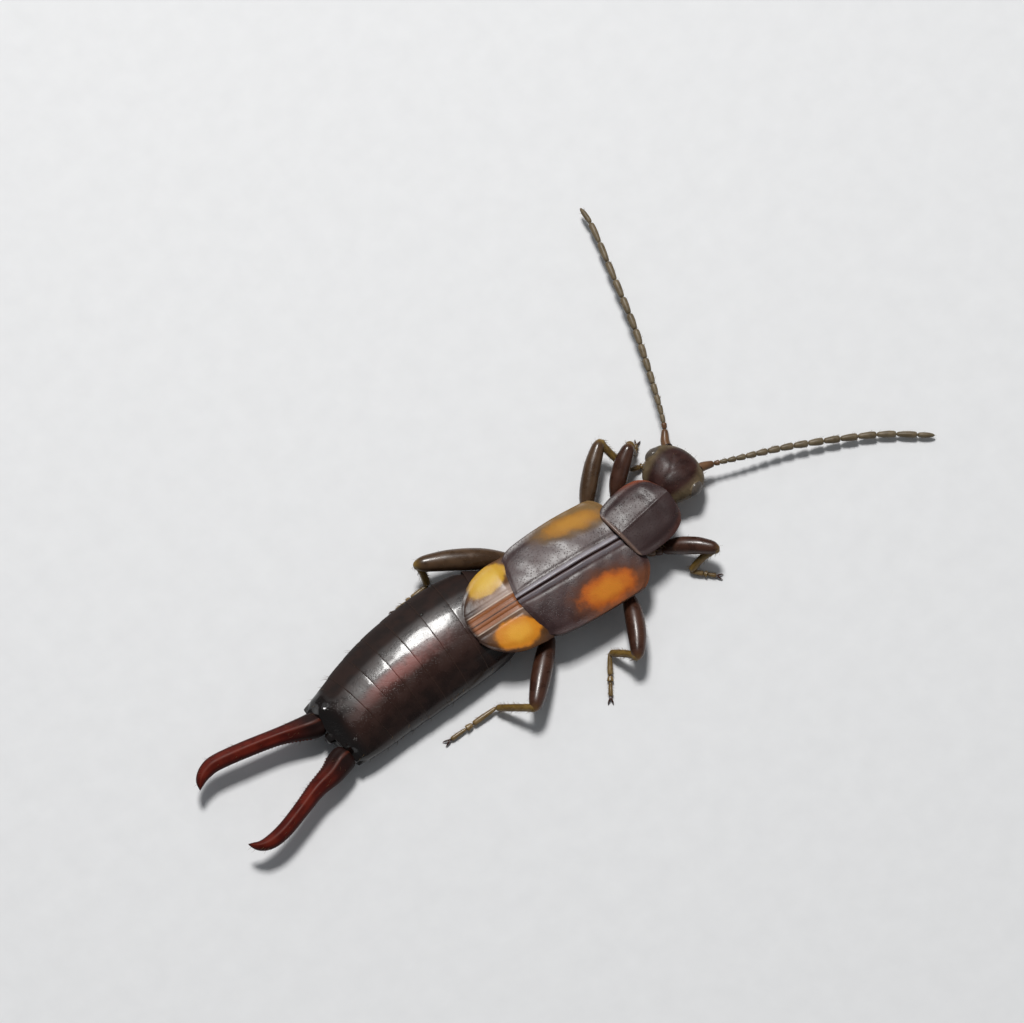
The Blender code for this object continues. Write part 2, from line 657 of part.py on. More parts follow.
def main():
    clear_scene()
    animal = bpy.data.collections.new("Earwig")
    bpy.context.scene.collection.children.link(animal)

    shell = finish("dark brown shell", (0.035, 0.012, 0.008), 0.22)
    leather = finish("purple brown wing leather", (0.060, 0.030, 0.030), 0.38)
    amber = finish("amber wing tip", (0.55, 0.27, 0.05), 0.35)
    blade = finish("dark red forceps", (0.14, 0.012, 0.006), 0.20)
    straw = finish("olive straw leg", (0.13, 0.075, 0.02), 0.35)
    olive = finish("olive brown feeler", (0.10, 0.07, 0.03), 0.45)
    grey = finish("grey eye", (0.10, 0.09, 0.09), 0.30)
    belly = finish("brown underside", (0.10, 0.045, 0.022), 0.40)

    head = make_head(shell, grey)
    make_feeler("left", 1, LEFT_FEELER_LINE, head, olive)
    make_feeler("right", -1, RIGHT_FEELER_LINE, head, olive)
    keep_largest(head)
    make_mouthparts(belly)
    make_pronotum(leather)
    make_trunks(belly)
    for name in LEGS:
        make_leg(name, straw)
    abdomen = make_abdomen(shell)
    for word, side in (("left", 1), ("right", -1)):
        make_fore_wing(word, side, leather)
        make_wing_tip(word, side, abdomen, amber)
    keep_largest(abdomen)
    make_blade("left", 1, LEFT_BLADE_LINE, blade)
    make_blade("right", -1, RIGHT_BLADE_LINE, blade)


main()
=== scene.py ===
"""An earwig at rest, dressed for its display, built from its plates, joints and bristles.

+X runs forward along the body, +Y to the animal's left, +Z up, and the floor is z = 0. Sizes and
places are in millimetres until MM turns them into metres.
"""

import json
import math

import bmesh
import bpy
import numpy as np
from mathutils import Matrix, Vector

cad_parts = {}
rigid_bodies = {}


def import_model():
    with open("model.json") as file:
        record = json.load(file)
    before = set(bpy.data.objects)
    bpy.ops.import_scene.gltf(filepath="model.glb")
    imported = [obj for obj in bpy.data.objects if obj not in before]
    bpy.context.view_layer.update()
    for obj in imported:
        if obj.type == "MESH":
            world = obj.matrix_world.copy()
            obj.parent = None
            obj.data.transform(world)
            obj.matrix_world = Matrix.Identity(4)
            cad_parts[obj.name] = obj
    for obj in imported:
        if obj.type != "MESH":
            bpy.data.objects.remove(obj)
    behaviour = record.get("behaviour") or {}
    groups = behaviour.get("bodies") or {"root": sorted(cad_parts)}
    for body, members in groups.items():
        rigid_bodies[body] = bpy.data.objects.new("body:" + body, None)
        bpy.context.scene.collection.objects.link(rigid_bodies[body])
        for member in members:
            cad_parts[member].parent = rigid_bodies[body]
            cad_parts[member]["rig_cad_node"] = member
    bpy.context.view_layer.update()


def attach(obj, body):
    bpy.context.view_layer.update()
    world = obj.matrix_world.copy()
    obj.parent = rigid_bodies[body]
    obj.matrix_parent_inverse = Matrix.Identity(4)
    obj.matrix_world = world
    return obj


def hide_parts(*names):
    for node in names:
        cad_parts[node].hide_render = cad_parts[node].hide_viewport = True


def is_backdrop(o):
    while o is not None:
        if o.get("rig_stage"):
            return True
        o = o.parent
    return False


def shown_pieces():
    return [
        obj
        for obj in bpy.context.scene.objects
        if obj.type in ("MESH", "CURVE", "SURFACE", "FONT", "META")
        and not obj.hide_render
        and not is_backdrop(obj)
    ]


MM = 0.001
UP = Vector((0, 0, 1))
SIDES = {"left": 1, "right": -1}

# The camera: a long lens that looks down on the animal from its right.
AIM = (1.09, 0.28, 0.0)
LOOK_TURN = math.radians(-38)
LOOK_RISE = math.radians(72)
CAMERA_FAR = 300
PICTURE_WIDE = 45.7
SENSOR_WIDE = 36

# The lengths of the body: where each starts, as x and y, and which way it heads from +X.
HEAD_BACK = (6.40, -3.28)
HEAD_TURN = math.radians(12)
PRONOTUM_BACK = (3.65, -4.10)
PRONOTUM_TURN = math.radians(6)
WINGS_BACK = (-1.72, -3.68)
WINGS_TURN = math.radians(-5.5)

# The head: forward from the neck, half width, height of its middle, rise and drop.
HEAD_RINGS = (
    (-0.06, 0.28, 1.12, 0.18, 0.18),
    (0.00, 0.54, 1.12, 0.28, 0.26),
    (0.10, 0.78, 1.12, 0.37, 0.32),
    (0.28, 1.00, 1.13, 0.47, 0.38),
    (0.60, 1.20, 1.15, 0.57, 0.42),
    (0.95, 1.34, 1.15, 0.62, 0.44),
    (1.30, 1.42, 1.15, 0.63, 0.46),
    (1.65, 1.39, 1.13, 0.59, 0.48),
    (1.98, 1.20, 1.09, 0.51, 0.48),
    (2.22, 0.88, 1.03, 0.42, 0.45),
    (2.37, 0.56, 0.96, 0.32, 0.37),
    (2.45, 0.22, 0.90, 0.16, 0.20),
)
EYE_PLACE = (1.30, 1.19, 1.25)
EYE_HALVES = (0.43, 0.30, 0.34)
EYE_RIM_HALVES = (0.49, 0.26, 0.345)
EYE_TURN = 0.16
SEAM_FORK = 1.05
FEELER_SOCKET = (1.94, 0.76, 1.16)

# The lower face: the chin's rings as above, the jaws by forward, out, height, half width and half
# height, and the stops of the palps by forward, out and height.
CHIN_RINGS = (
    (0.80, 0.36, 0.72, 0.12, 0.14), (1.15, 0.54, 0.62, 0.20, 0.26), (1.72, 0.58, 0.50, 0.22, 0.22),
    (2.17, 0.42, 0.44, 0.18, 0.14),
)
JAW = (
    (1.82, 0.64, 0.62, 0.19, 0.16), (2.20, 0.56, 0.48, 0.16, 0.13), (2.42, 0.32, 0.38, 0.10, 0.09),
    (2.44, 0.08, 0.34, 0.03, 0.04),
)
PALP = ((1.64, 0.52, 0.50), (1.78, 0.84, 0.36), (2.02, 0.94, 0.32), (2.24, 0.88, 0.30), (2.40, 0.72, 0.24))
LIP_PALP = ((1.70, 0.20, 0.36), (2.00, 0.28, 0.26), (2.24, 0.26, 0.20))

# The feelers past their sockets, and the half width of their joints at shares of the length: in the
# first joint, the last one and the others.
FEELERS = {
    "left": (
        (8.28, -1.62, 1.00),
        (8.80, -0.84, 1.02),
        (9.68, 1.17, 1.00),
        (10.58, 3.50, 0.92),
        (11.44, 6.23, 0.80),
        (12.14, 8.55, 0.66),
        (12.28, 9.60, 0.58),
    ),
    "right": (
        (8.88, -3.54, 0.98),
        (10.40, -4.18, 0.88),
        (12.61, -5.11, 0.64),
        (14.91, -6.30, 0.42),
        (16.45, -7.23, 0.31),
        (17.84, -8.35, 0.27),
        (18.16, -8.62, 0.26),
    ),
}
FEELER_JOINTS = 17
ROOT_SHAPE = ((0.0, 0.70), (0.25, 0.98), (0.5, 1.0), (0.8, 0.82), (0.95, 0.66), (1.0, 0.45))
LAST_SHAPE = ((0.0, 0.55), (0.2, 0.85), (0.6, 0.86), (0.88, 0.55), (1.0, 0.18))
BEAD_SHAPE = ((0.0, 0.55), (0.14, 0.78), (0.5, 0.98), (0.82, 1.0), (0.95, 0.82), (1.0, 0.5))

# The pronotum: forward from its hind edge and half width.
PRONOTUM_EDGE = (
    (0.0, 0.86), (0.03, 1.10), (0.10, 1.28), (0.22, 1.41), (0.45, 1.51), (0.95, 1.58), (1.4, 1.60),
    (1.9, 1.57), (2.3, 1.47), (2.6, 1.30), (2.82, 1.06), (2.95, 0.78), (3.02, 0.46),
)
PRONOTUM_TOP = 2.30

# The trunk below the plates: forward, half width, height, rise and drop.
FOREBODY_RINGS = (
    (0.15, 0.60, 1.00, 0.35, 0.35),
    (0.40, 1.00, 1.00, 0.50, 0.50),
    (1.10, 1.12, 1.00, 0.54, 0.54),
    (1.80, 1.05, 1.00, 0.52, 0.50),
    (2.40, 0.80, 1.04, 0.44, 0.40),
    (2.85, 0.66, 1.08, 0.38, 0.34),
    (3.15, 0.56, 1.10, 0.30, 0.28),
)
HINDBODY_RINGS = (
    (0.60, 1.00, 1.00, 0.50, 0.50),
    (1.60, 1.42, 1.00, 0.60, 0.58),
    (3.00, 1.50, 1.00, 0.60, 0.60),
    (4.60, 1.45, 1.00, 0.60, 0.55),
    (5.20, 1.15, 1.00, 0.52, 0.46),
    (5.70, 0.78, 1.00, 0.44, 0.40),
    (5.95, 0.45, 1.00, 0.30, 0.30),
)

# The fore wings: forward from the hind end of their seam and half width out to the keel.
TEGMEN_KEEL = (
    (0.30, 1.96), (0.60, 2.16), (1.10, 2.33), (2.20, 2.44), (3.40, 2.47), (4.40, 2.44), (5.20, 2.39),
    (6.00, 2.30),
)
# How far forward each fore wing reaches, from the seam at 0 to the keel at 1.
TEGMEN_FRONTS = {
    "left": ((0.0, 5.56), (0.35, 5.62), (0.62, 5.66), (0.80, 5.60), (0.92, 5.44), (1.0, 5.20)),
    "right": ((0.0, 5.60), (0.30, 5.86), (0.50, 5.98), (0.68, 5.95), (0.84, 5.72), (0.94, 5.48), (1.0, 5.22)),
}
TEGMEN_BACK = 0.46
SEAM_HIGH = 2.38
KEEL_HIGH = 1.88
KEEL_SHARE = 0.78
FLANK_DROP = 0.55

# The tips of the folded hind wings: back from the fore wings' seam and half width.
WING_TIP_EDGE = (
    (0.0, 2.18), (0.5, 2.14), (1.0, 2.02), (1.5, 1.78), (1.95, 1.42), (2.25, 1.02), (2.42, 0.62),
    (2.48, 0.30),
)

# The abdomen from its front to its end: x, y and height of its middle line, half width, top and bottom.
ABDOMEN_LINE = (
    (-1.20, -3.50, 0.75, 1.25, 1.45, 0.30),
    (-2.00, -3.24, 0.74, 1.72, 1.75, 0.10),
    (-2.70, -3.06, 0.73, 2.12, 1.93, 0.02),
    (-3.40, -2.96, 0.72, 2.36, 2.03, 0.01),
    (-5.00, -2.84, 0.72, 2.49, 2.12, 0.01),
    (-6.50, -2.84, 0.72, 2.46, 2.12, 0.01),
    (-8.00, -2.89, 0.72, 2.36, 2.06, 0.01),
    (-9.40, -3.03, 0.74, 2.19, 1.98, 0.03),
    (-10.60, -3.20, 0.82, 2.00, 1.88, 0.10),
    (-11.80, -3.31, 0.95, 1.77, 1.70, 0.26),
)
# Where the rings start and end on that line. Then the shape of a ring: how far along the rod, the share
# of the ring that is reached there, and how many steps it stands out.
RING_EDGES = (0.0, 0.085, 0.185, 0.295, 0.415, 0.535, 0.64, 0.735, 0.83, 1.0)
RING_SHAPE = (
    (0.00, -0.34, -5.0),
    (0.14, -0.08, -2.6),
    (0.24, 0.02, -1.5),
    (0.34, 0.14, -0.9),
    (0.60, 0.55, 0.0),
    (0.84, 0.92, 0.75),
    (0.91, 0.975, 0.80),
    (0.95, 0.995, 0.35),
    (0.98, 0.995, -0.8),
    (1.00, 0.96, -4.0),
)
RING_STEP = 0.0075
ABDOMEN_POWER = 2.15
FOLD_X = -5.40
FOLD_OUT = 1.28
FOLD_HALVES = (0.10, 0.07, 0.05)

# The forceps from root to tip: x, y, height, half width and half height.
BLADES = {
    "left": (
        (-11.55, -2.48, 0.98, 0.50, 0.42),
        (-12.10, -2.40, 1.02, 0.60, 0.48),
        (-12.80, -2.17, 1.10, 0.50, 0.40),
        (-13.75, -1.86, 1.18, 0.40, 0.33),
        (-15.20, -1.47, 1.24, 0.39, 0.31),
        (-16.50, -1.18, 1.24, 0.38, 0.30),
        (-17.08, -1.20, 1.22, 0.34, 0.27),
        (-17.52, -1.39, 1.20, 0.24, 0.22),
        (-17.84, -1.73, 1.18, 0.07, 0.08),
    ),
    "right": (
        (-11.55, -4.36, 0.98, 0.50, 0.42),
        (-12.10, -4.44, 1.02, 0.62, 0.48),
        (-12.80, -4.68, 1.10, 0.53, 0.41),
        (-13.75, -4.84, 1.18, 0.42, 0.34),
        (-14.90, -5.18, 1.24, 0.37, 0.31),
        (-15.98, -5.46, 1.24, 0.36, 0.30),
        (-16.75, -5.52, 1.22, 0.33, 0.27),
        (-17.28, -5.37, 1.20, 0.23, 0.22),
        (-17.66, -4.99, 1.18, 0.07, 0.08),
    ),
}
TEETH = 19

# The legs: the hip's base in the trunk, hip, knee, ankle and toe.
LEGS = {
    "front_left": ((4.35, -3.30, 0.80), (4.72, -2.58, 0.76), (6.82, -0.90, 1.55), (7.00, -1.00, 0.28),
                   (7.36, -0.72, 0.12)),
    "front_right": ((4.40, -4.55, 0.80), (4.88, -5.26, 0.76), (6.94, -7.02, 1.34), (5.58, -6.87, 0.24),
                    (6.40, -7.73, 0.12)),
    "middle_left": ((2.95, -3.20, 0.80), (3.22, -2.36, 0.74), (5.90, 0.10, 1.34), (6.38, -1.54, 0.36),
                    (7.28, -1.76, 0.12)),
    "middle_right": ((2.75, -5.00, 0.80), (2.68, -5.88, 0.76), (1.05, -8.79, 1.34), (0.38, -7.66, 0.28),
                     (-0.84, -9.28, 0.12)),
    "hind_left": ((0.15, -2.95, 0.80), (-0.22, -1.94, 0.72), (-4.03, 0.56, 1.38), (-4.06, -0.20, 0.30),
                  (-5.90, -0.24, 0.12)),
    "hind_right": ((-0.25, -4.70, 0.80), (-1.02, -5.22, 0.66), (-3.96, -7.85, 1.34), (-5.14, -6.54, 0.28),
                   (-7.66, -6.43, 0.12)),
}
# Along the thigh and the shin: a share of the length, half width and, for the thigh, half height.
THIGH_SHAPE = (
    (0.06, 0.18, 0.20), (0.16, 0.29, 0.31), (0.38, 0.39, 0.41), (0.66, 0.39, 0.39), (0.86, 0.33, 0.33),
    (0.96, 0.27, 0.28), (1.04, 0.20, 0.22),
)
SHIN_SHAPE = ((-0.05, 0.17), (0.06, 0.21), (0.18, 0.18), (0.50, 0.17), (0.85, 0.165), (1.0, 0.14))
# Where each foot joint starts and ends between ankle and toe, and its half width.
FOOT_JOINTS = ((-0.02, 0.50, 0.125), (0.50, 0.64, 0.145), (0.64, 0.97, 0.105))
# A claw past the toe: out along its own way, along the foot, up, half width and half height.
CLAW_SHAPE = (
    (0.10, 0.0, 0.02, 0.044, 0.046),
    (0.19, 0.04, -0.02, 0.030, 0.032),
    (0.22, 0.10, -0.08, 0.010, 0.012),
)
CLAW_TURN = math.radians(34)
THIGH_BOW = 0.16
# How stout the thigh is and how far it bows, where it isn't plain.
THIGHS = {"hind_left": (1.24, 0.17), "hind_right": (1.14, -0.02), "middle_right": (1.08, 0.16)}
SHIN_BOW = 0.14
PALE_THIGHS = ("hind_left", "middle_left")

# Bristles: how much the face, the given way and chance turn them, and the spread of their lengths.
HAIR_STAND = 0.75
HAIR_LEAN = 0.8
HAIR_STRAY = 0.16
HAIR_LENGTHS = (0.6, 1.2)
THIRDS = (0.0, 2.094, 4.189)
BACKWARD = (-1, 0, 0.1)

# The sky, and for each light its name, the way to it, how far and how large it is in metres, its power
# in watts and its colour.
SKY_COLOUR = (0.92, 0.96, 1.0, 1.0)
SKY_STRENGTH = 0.15
LIGHTS = (
    ("key light", (0.19, 0.40, 0.90), 0.40, 0.085, 1.38, (1.0, 0.985, 0.965)),
    ("side light", (0.24, 0.68, 0.70), 0.45, 0.28, 0.13, (0.93, 0.96, 1.0)),
    ("fill light", (0.60, -0.70, 0.55), 0.50, 0.30, 0.09, (1.0, 0.99, 0.97)),
)


def deselect():
    bpy.ops.object.select_all(action="DESELECT")


def pick(*pieces):
    """Selects only these pieces, with the first one active."""
    deselect()
    for piece in pieces:
        piece.select_set(True)
    bpy.context.view_layer.objects.active = pieces[0]


def soft_rows(rows, count=400):
    """count rows at even steps along a soft curve through the given ones, in any number of columns."""
    rows = np.array(rows, float)
    padded = np.vstack([2 * rows[0] - rows[1], rows, 2 * rows[-1] - rows[-2]])
    fine = []
    for a, b, c, d in zip(padded, padded[1:], padded[2:], padded[3:]):
        for t in np.linspace(0, 1, 32, endpoint=False):
            turn = (c - a) * t + (2 * a - 5 * b + 4 * c - d) * t**2 + (3 * b - a - 3 * c + d) * t**3
            fine.append(b + turn / 2)
    fine = np.array([*fine, rows[-1]])
    steps = np.linalg.norm(np.diff(fine[:, :min(3, fine.shape[1])], axis=0), axis=1)
    gone = np.concatenate([[0], np.cumsum(steps)])
    wanted = np.linspace(0, gone[-1], count)
    return np.stack([np.interp(wanted, gone, column) for column in fine.T], axis=1)


def read(rows, share):
    """The row at a share of the way through evenly spaced rows."""
    place = min(max(share, 0.0), 1.0) * (len(rows) - 1)
    low = min(int(place), len(rows) - 2)
    return rows[low] + (rows[low + 1] - rows[low]) * (place - low)


def from_table(table):
    """A function that reads the second column of a table at a value of its first, along a soft curve."""
    rows = soft_rows(table)
    return lambda value: float(np.interp(value, rows[:, 0], rows[:, 1]))


def soft_step(value, low, high):
    """0 at low and 1 at high, or past them, with a smooth change between."""
    share = min(max((value - low) / (high - low), 0.0), 1.0)
    return share * share * (3 - 2 * share)


def hump(value, middle, reach):
    """1 at the middle, and less and less away from it."""
    return math.exp(-(((value - middle) / reach) ** 2))


def ease(share):
    """Sets rings closer together near both ends."""
    return 0.5 - 0.5 * math.cos(math.pi * share)


def placed(start, turn, forward, out, high):
    """A point given forward, to the left and up in a length of the body."""
    x = start[0] + forward * math.cos(turn) - out * math.sin(turn)
    y = start[1] + forward * math.sin(turn) + out * math.cos(turn)
    return Vector((x, y, high))


def between(start, end, *stops):
    """Rows of x, y, z, half width and half height, from stops that start with a share of the way."""
    return [(*start.lerp(end, share), wide, tall) for share, wide, tall in stops]


def oval(y, z, power):
    """A point of the unit circle moved to a squarer or rounder oval."""
    return (math.copysign(abs(y) ** (2 / power), y), math.copysign(abs(z) ** (2 / power), z))


class Route:
    """A soft curve through rows that start with x, y and z, with the way across and up at each share."""

    def __init__(self, rows):
        self.rows = soft_rows(rows)

    def at(self, share):
        row = read(self.rows, share)
        ahead = read(self.rows, share + 0.01)[:3] - read(self.rows, share - 0.01)[:3]
        heading = Vector(ahead).normalized()
        across = UP.cross(heading)
        if across.length < 0.2:
            across = Vector((0, 1, 0)).cross(heading)
        across.normalize()
        return row, heading, across, heading.cross(across)


def settled(name, smooth=False):
    """The piece just added, named, with its place, turn and size worked into its corners."""
    bpy.ops.object.transform_apply()
    if smooth:
        bpy.ops.object.shade_smooth()
    bpy.context.object.name = name
    return bpy.context.object


def blank(name, sides, rings):
    """A round rod one unit long on +X, with rings of corners to shape it by."""
    deselect()
    bpy.ops.mesh.primitive_cylinder_add(vertices=sides, radius=1, depth=1, location=(0.5, 0, 0),
                                        rotation=(0, math.pi / 2, 0))
    rod = settled(name)
    bpy.ops.object.mode_set(mode="EDIT")
    bpy.ops.mesh.select_mode(type="EDGE")
    for edge in bmesh.from_edit_mesh(rod.data).edges:
        edge.select_set(abs(edge.verts[0].co.x - edge.verts[1].co.x) > 0.5)
    bpy.ops.mesh.subdivide(number_cuts=rings - 2)
    bpy.ops.object.mode_set(mode="OBJECT")
    return rod


def mark(piece, name, values):
    """Writes a number on each corner, for the finish to read."""
    layer = piece.data.attributes.new(name, "FLOAT", "POINT")
    layer.data.foreach_set("value", np.array(values, np.float32))


def edit_all(change, **settings):
    """Makes one change to all faces of the active piece."""
    bpy.ops.object.mode_set(mode="EDIT")
    bpy.ops.mesh.select_all(action="SELECT")
    change(**settings)
    bpy.ops.object.mode_set(mode="OBJECT")


def tidy_faces(piece):
    """Turns all faces outward and smooths them."""
    pick(piece)
    edit_all(bpy.ops.mesh.normals_make_consistent, inside=False)
    bpy.ops.object.shade_smooth()


def shaped(piece, rule):
    """Moves each corner to the place in mm that the rule gives, and marks where on the blank it was."""
    corners = piece.data.vertices
    was = [corner.co.copy() for corner in corners]
    for name, values in zip(("along", "aside", "high"), zip(*was)):
        mark(piece, name, values)
    for corner, place in zip(corners, was):
        corner.co = Vector(rule(*place)) * MM
    tidy_faces(piece)
    return piece


def joined(name, pieces):
    """One piece from several, with the first one's finishes and theirs."""
    pick(*pieces)
    bpy.ops.object.join()
    pieces[0].name = name
    return pieces[0]


def ready(piece, finish, slot, *nodes):
    """Gives a finished piece its finish, hangs it on the root body and hides the solids that it stands for.
    slot is not used.
    """
    piece.data.materials.clear()
    piece.data.materials.append(finish)
    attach(piece, "root")
    if nodes:
        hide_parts(*nodes)


def limb(name, rows, sides, rings, blunt, power=2.0, least=0.03, relief=None):
    """A long body along rows of x, y, z, half width and half height, with ends round over the share blunt.

    least is how much of its width is left at the very ends, and relief(share, y, z) raises its surface.
    """
    route = Route(rows)

    def rule(x, y, z):
        share = ease(x)
        row, _, across, upward = route.at(share)
        end = min(min(share, 1 - share) / blunt, 1.0)
        shrink = max(math.sqrt(1 - (1 - end) ** 2), least)
        wide, tall = oval(y, z, power)
        rise = tall * row[4] + (relief(share, y, z) if relief else 0.0)
        return Vector(row[:3]) + across * wide * row[3] * shrink + upward * rise * shrink

    return shaped(blank(name, sides, rings), rule)


def ball(name, place, halves, turn, segments=32, rings=20):
    """A round body at a place in mm, turned about the vertical."""
    deselect()
    bpy.ops.mesh.primitive_uv_sphere_add(segments=segments, ring_count=rings, radius=MM,
                                         location=Vector(place) * MM, rotation=(0, 0, turn), scale=halves)
    return settled(name, smooth=True)


def collar(name, place, heading, wide, thick):
    """A ring round the root of a feeler."""
    deselect()
    turn = UP.rotation_difference(heading).to_euler()
    bpy.ops.mesh.primitive_torus_add(major_radius=wide * MM, minor_radius=thick * MM, major_segments=40,
                                     minor_segments=12, location=Vector(place) * MM, rotation=turn)
    return settled(name, smooth=True)


def bristles(paint, slot, name, host, count, long, seed, lean, keep=None, thick=0.010):
    """Fine tapered hairs that grow from a piece, leaning the way given and varied in length."""
    draw = np.random.default_rng(seed)
    faces = [face for face in host.data.polygons if keep is None or keep(face.center / MM, face.normal)]
    weights = np.array([face.area for face in faces])
    picked = draw.choice(len(faces), size=count, p=weights / weights.sum())
    corners, sides = [], []
    for number in picked:
        face = faces[number]
        ends = [host.data.vertices[index].co for index in face.vertices]
        mix = draw.dirichlet(np.ones(len(ends)))
        root = sum((end * share for end, share in zip(ends, mix)), Vector())
        heading = lean(root / MM) if callable(lean) else Vector(lean)
        stray = Vector(draw.normal(0, HAIR_STRAY, 3))
        way = (face.normal * HAIR_STAND + heading * HAIR_LEAN + stray).normalized()
        length = long * draw.uniform(*HAIR_LENGTHS) * MM
        across = way.orthogonal().normalized()
        beside = way.cross(across)
        first = len(corners)
        bend = root + way * length * 0.6 + heading * length * 0.05
        for middle, taper in ((root - way * length * 0.12, 1.0), (bend, 0.55)):
            for turn in THIRDS:
                offset = (across * math.cos(turn) + beside * math.sin(turn)) * thick * MM * taper
                corners.append(middle + offset)
        corners.append(root + way * length + heading * length * 0.18)
        sides.append((first + 2, first + 1, first))
        for step in range(3):
            after = (step + 1) % 3
            sides.append((first + step, first + after, first + 3 + after, first + 3 + step))
            sides.append((first + 3 + step, first + 3 + after, first + 6))
    mesh = bpy.data.meshes.new(name)
    mesh.from_pydata(corners, [], sides)
    mesh.shade_smooth()
    hair = bpy.data.objects.new(name, mesh)
    bpy.context.scene.collection.objects.link(hair)
    ready(hair, paint["hair"], slot)


def full(colour):
    """A colour with its alpha, and any other value as it is."""
    return (*colour, 1.0) if isinstance(colour, tuple) and len(colour) == 3 else colour


def give(tree, socket, value):
    """Joins a socket to another, or sets it to a value."""
    if isinstance(value, bpy.types.NodeSocket):
        tree.links.new(value, socket)
    else:
        socket.default_value = value


def add_node(tree, kind, settings=None, **inputs):
    """A node with its settings and inputs given. n0 stands for the first input, and so on."""
    made = tree.nodes.new(kind)
    for name, value in (settings or {}).items():
        setattr(made, name, value)
    for name, value in inputs.items():
        number = name[0] == "n" and name[1:].isdigit()
        give(tree, made.inputs[int(name[1:]) if number else name], value)
    return made


def work(tree, kind, *values):
    """The outcome of a sum of the given kind on sockets and numbers."""
    made = tree.nodes.new("ShaderNodeMath")
    made.operation = kind
    for socket, value in zip(made.inputs, values):
        give(tree, socket, value)
    return made.outputs[0]


def ramp(tree, value, low, high, start=0.0, end=1.0):
    """A smooth ramp of a value, from start at low to end at high."""
    return add_node(tree, "ShaderNodeMapRange", {"interpolation_type": "SMOOTHSTEP"}, Value=value, n1=low,
                    n2=high, n3=start, n4=end).outputs["Result"]


class Finish:
    """A material under making: its colour and relief so far, and short ways to add its nodes."""

    def __init__(self, name):
        self.material = bpy.data.materials.new(name)
        self.material.use_nodes = True
        self.tree = self.material.node_tree
        self.shader = self.tree.nodes["Principled BSDF"]
        where = self.tree.nodes.new("ShaderNodeTexCoord")
        self.place = where.outputs["Object"]
        self.plate = where.outputs["UV"]
        self.colour = None
        self.height = None
        self.drift = None

    def lay(self, grain, scale, pits, wrinkles, dark, light):
        """This finish with the shell grain, and a colour that drifts slowly from dark to light."""
        relief = self.group(grain, Place=self.place, Scale=scale, Pits=pits, Wrinkles=wrinkles)
        self.height, self.drift = relief["Height"], relief["Mask"]
        self.colour = self.blend(self.drift, dark, light)
        return self

    def group(self, group, **inputs):
        return add_node(self.tree, "ShaderNodeGroup", {"node_tree": group}, **inputs).outputs

    def marked(self, *names):
        """The numbers written on the piece's corners under these names."""
        found = [add_node(self.tree, "ShaderNodeAttribute", {"attribute_name": name}) for name in names]
        return [made.outputs["Fac"] for made in found]

    def band(self, value, low, high, start=0.0, end=1.0):
        return ramp(self.tree, value, low, high, start, end)

    def work(self, kind, *values):
        return work(self.tree, kind, *values)

    def times(self, first, *others):
        for other in others:
            first = self.work("MULTIPLY", first, other)
        return first

    def window(self, value, *ends):
        """1 where a value lies between two soft ends, each given by where it is 0 and where it is 1."""
        return self.times(self.band(value, *ends[:2]), self.band(value, *ends[2:]))

    def uneven(self, low, high):
        """A roughness that drifts between two values as the colour does."""
        return self.band(self.drift, 0, 1, low, high)

    def blend(self, share, first, second):
        made = self.tree.nodes.new("ShaderNodeMix")
        made.data_type = "RGBA"
        for index, value in ((0, share), (6, full(first)), (7, full(second))):
            give(self.tree, made.inputs[index], value)
        return made.outputs[2]

    def tint(self, share, colour, most=None):
        """Moves the colour towards another by a share, or by that share of most."""
        share = share if most is None else self.times(share, most)
        self.colour = self.blend(share, self.colour, colour)

    def shade(self, value, low, high, colour, most=None):
        """Moves the colour towards another as a value goes from low to high."""
        self.tint(self.band(value, low, high), colour, most)

    def ovals(self, spot, centre, halves, turn, steps):
        """Masks of one oval mark, each step with its growth in length and width, raggedness and softness."""
        return [
            self.group(spot, Plate=self.plate, Centre=(*centre, 0), Turn=turn, Ragged=ragged, Soft=soft,
                       Halves=(halves[0] * long, halves[1] * wide, 1))["Mask"]
            for long, wide, ragged, soft in steps
        ]

    def done(self, roughness, depth, coat=0.0, coat_roughness=0.1, shine=0.3, light_in=0.0):
        """Joins the colour, roughness and relief to the shader. depth is in mm."""
        bump = add_node(self.tree, "ShaderNodeBump", Distance=depth * MM, Height=self.height)
        for name, value in (
            ("Normal", bump.outputs["Normal"]), ("Base Color", self.colour), ("Roughness", roughness),
            ("Coat Weight", coat), ("Coat Roughness", coat_roughness), ("Specular IOR Level", shine),
            ("Subsurface Weight", light_in), ("Subsurface Radius", (0.9, 0.35, 0.15)),
            ("Subsurface Scale", 0.25 * MM),
        ):
            give(self.tree, self.shader.inputs[name], value)
        return self.material


def new_group(name, inputs, outputs):
    """An empty shader group with its named inputs and outputs, each given its kind and first value."""
    tree = bpy.data.node_groups.new(name, "ShaderNodeTree")
    for title, (kind, value) in inputs.items():
        socket = tree.interface.new_socket(title, in_out="INPUT", socket_type=kind)
        if value is not None:
            socket.default_value = value
    for title in outputs:
        tree.interface.new_socket(title, in_out="OUTPUT", socket_type="NodeSocketFloat")
    return tree, tree.nodes.new("NodeGroupInput").outputs, tree.nodes.new("NodeGroupOutput").inputs


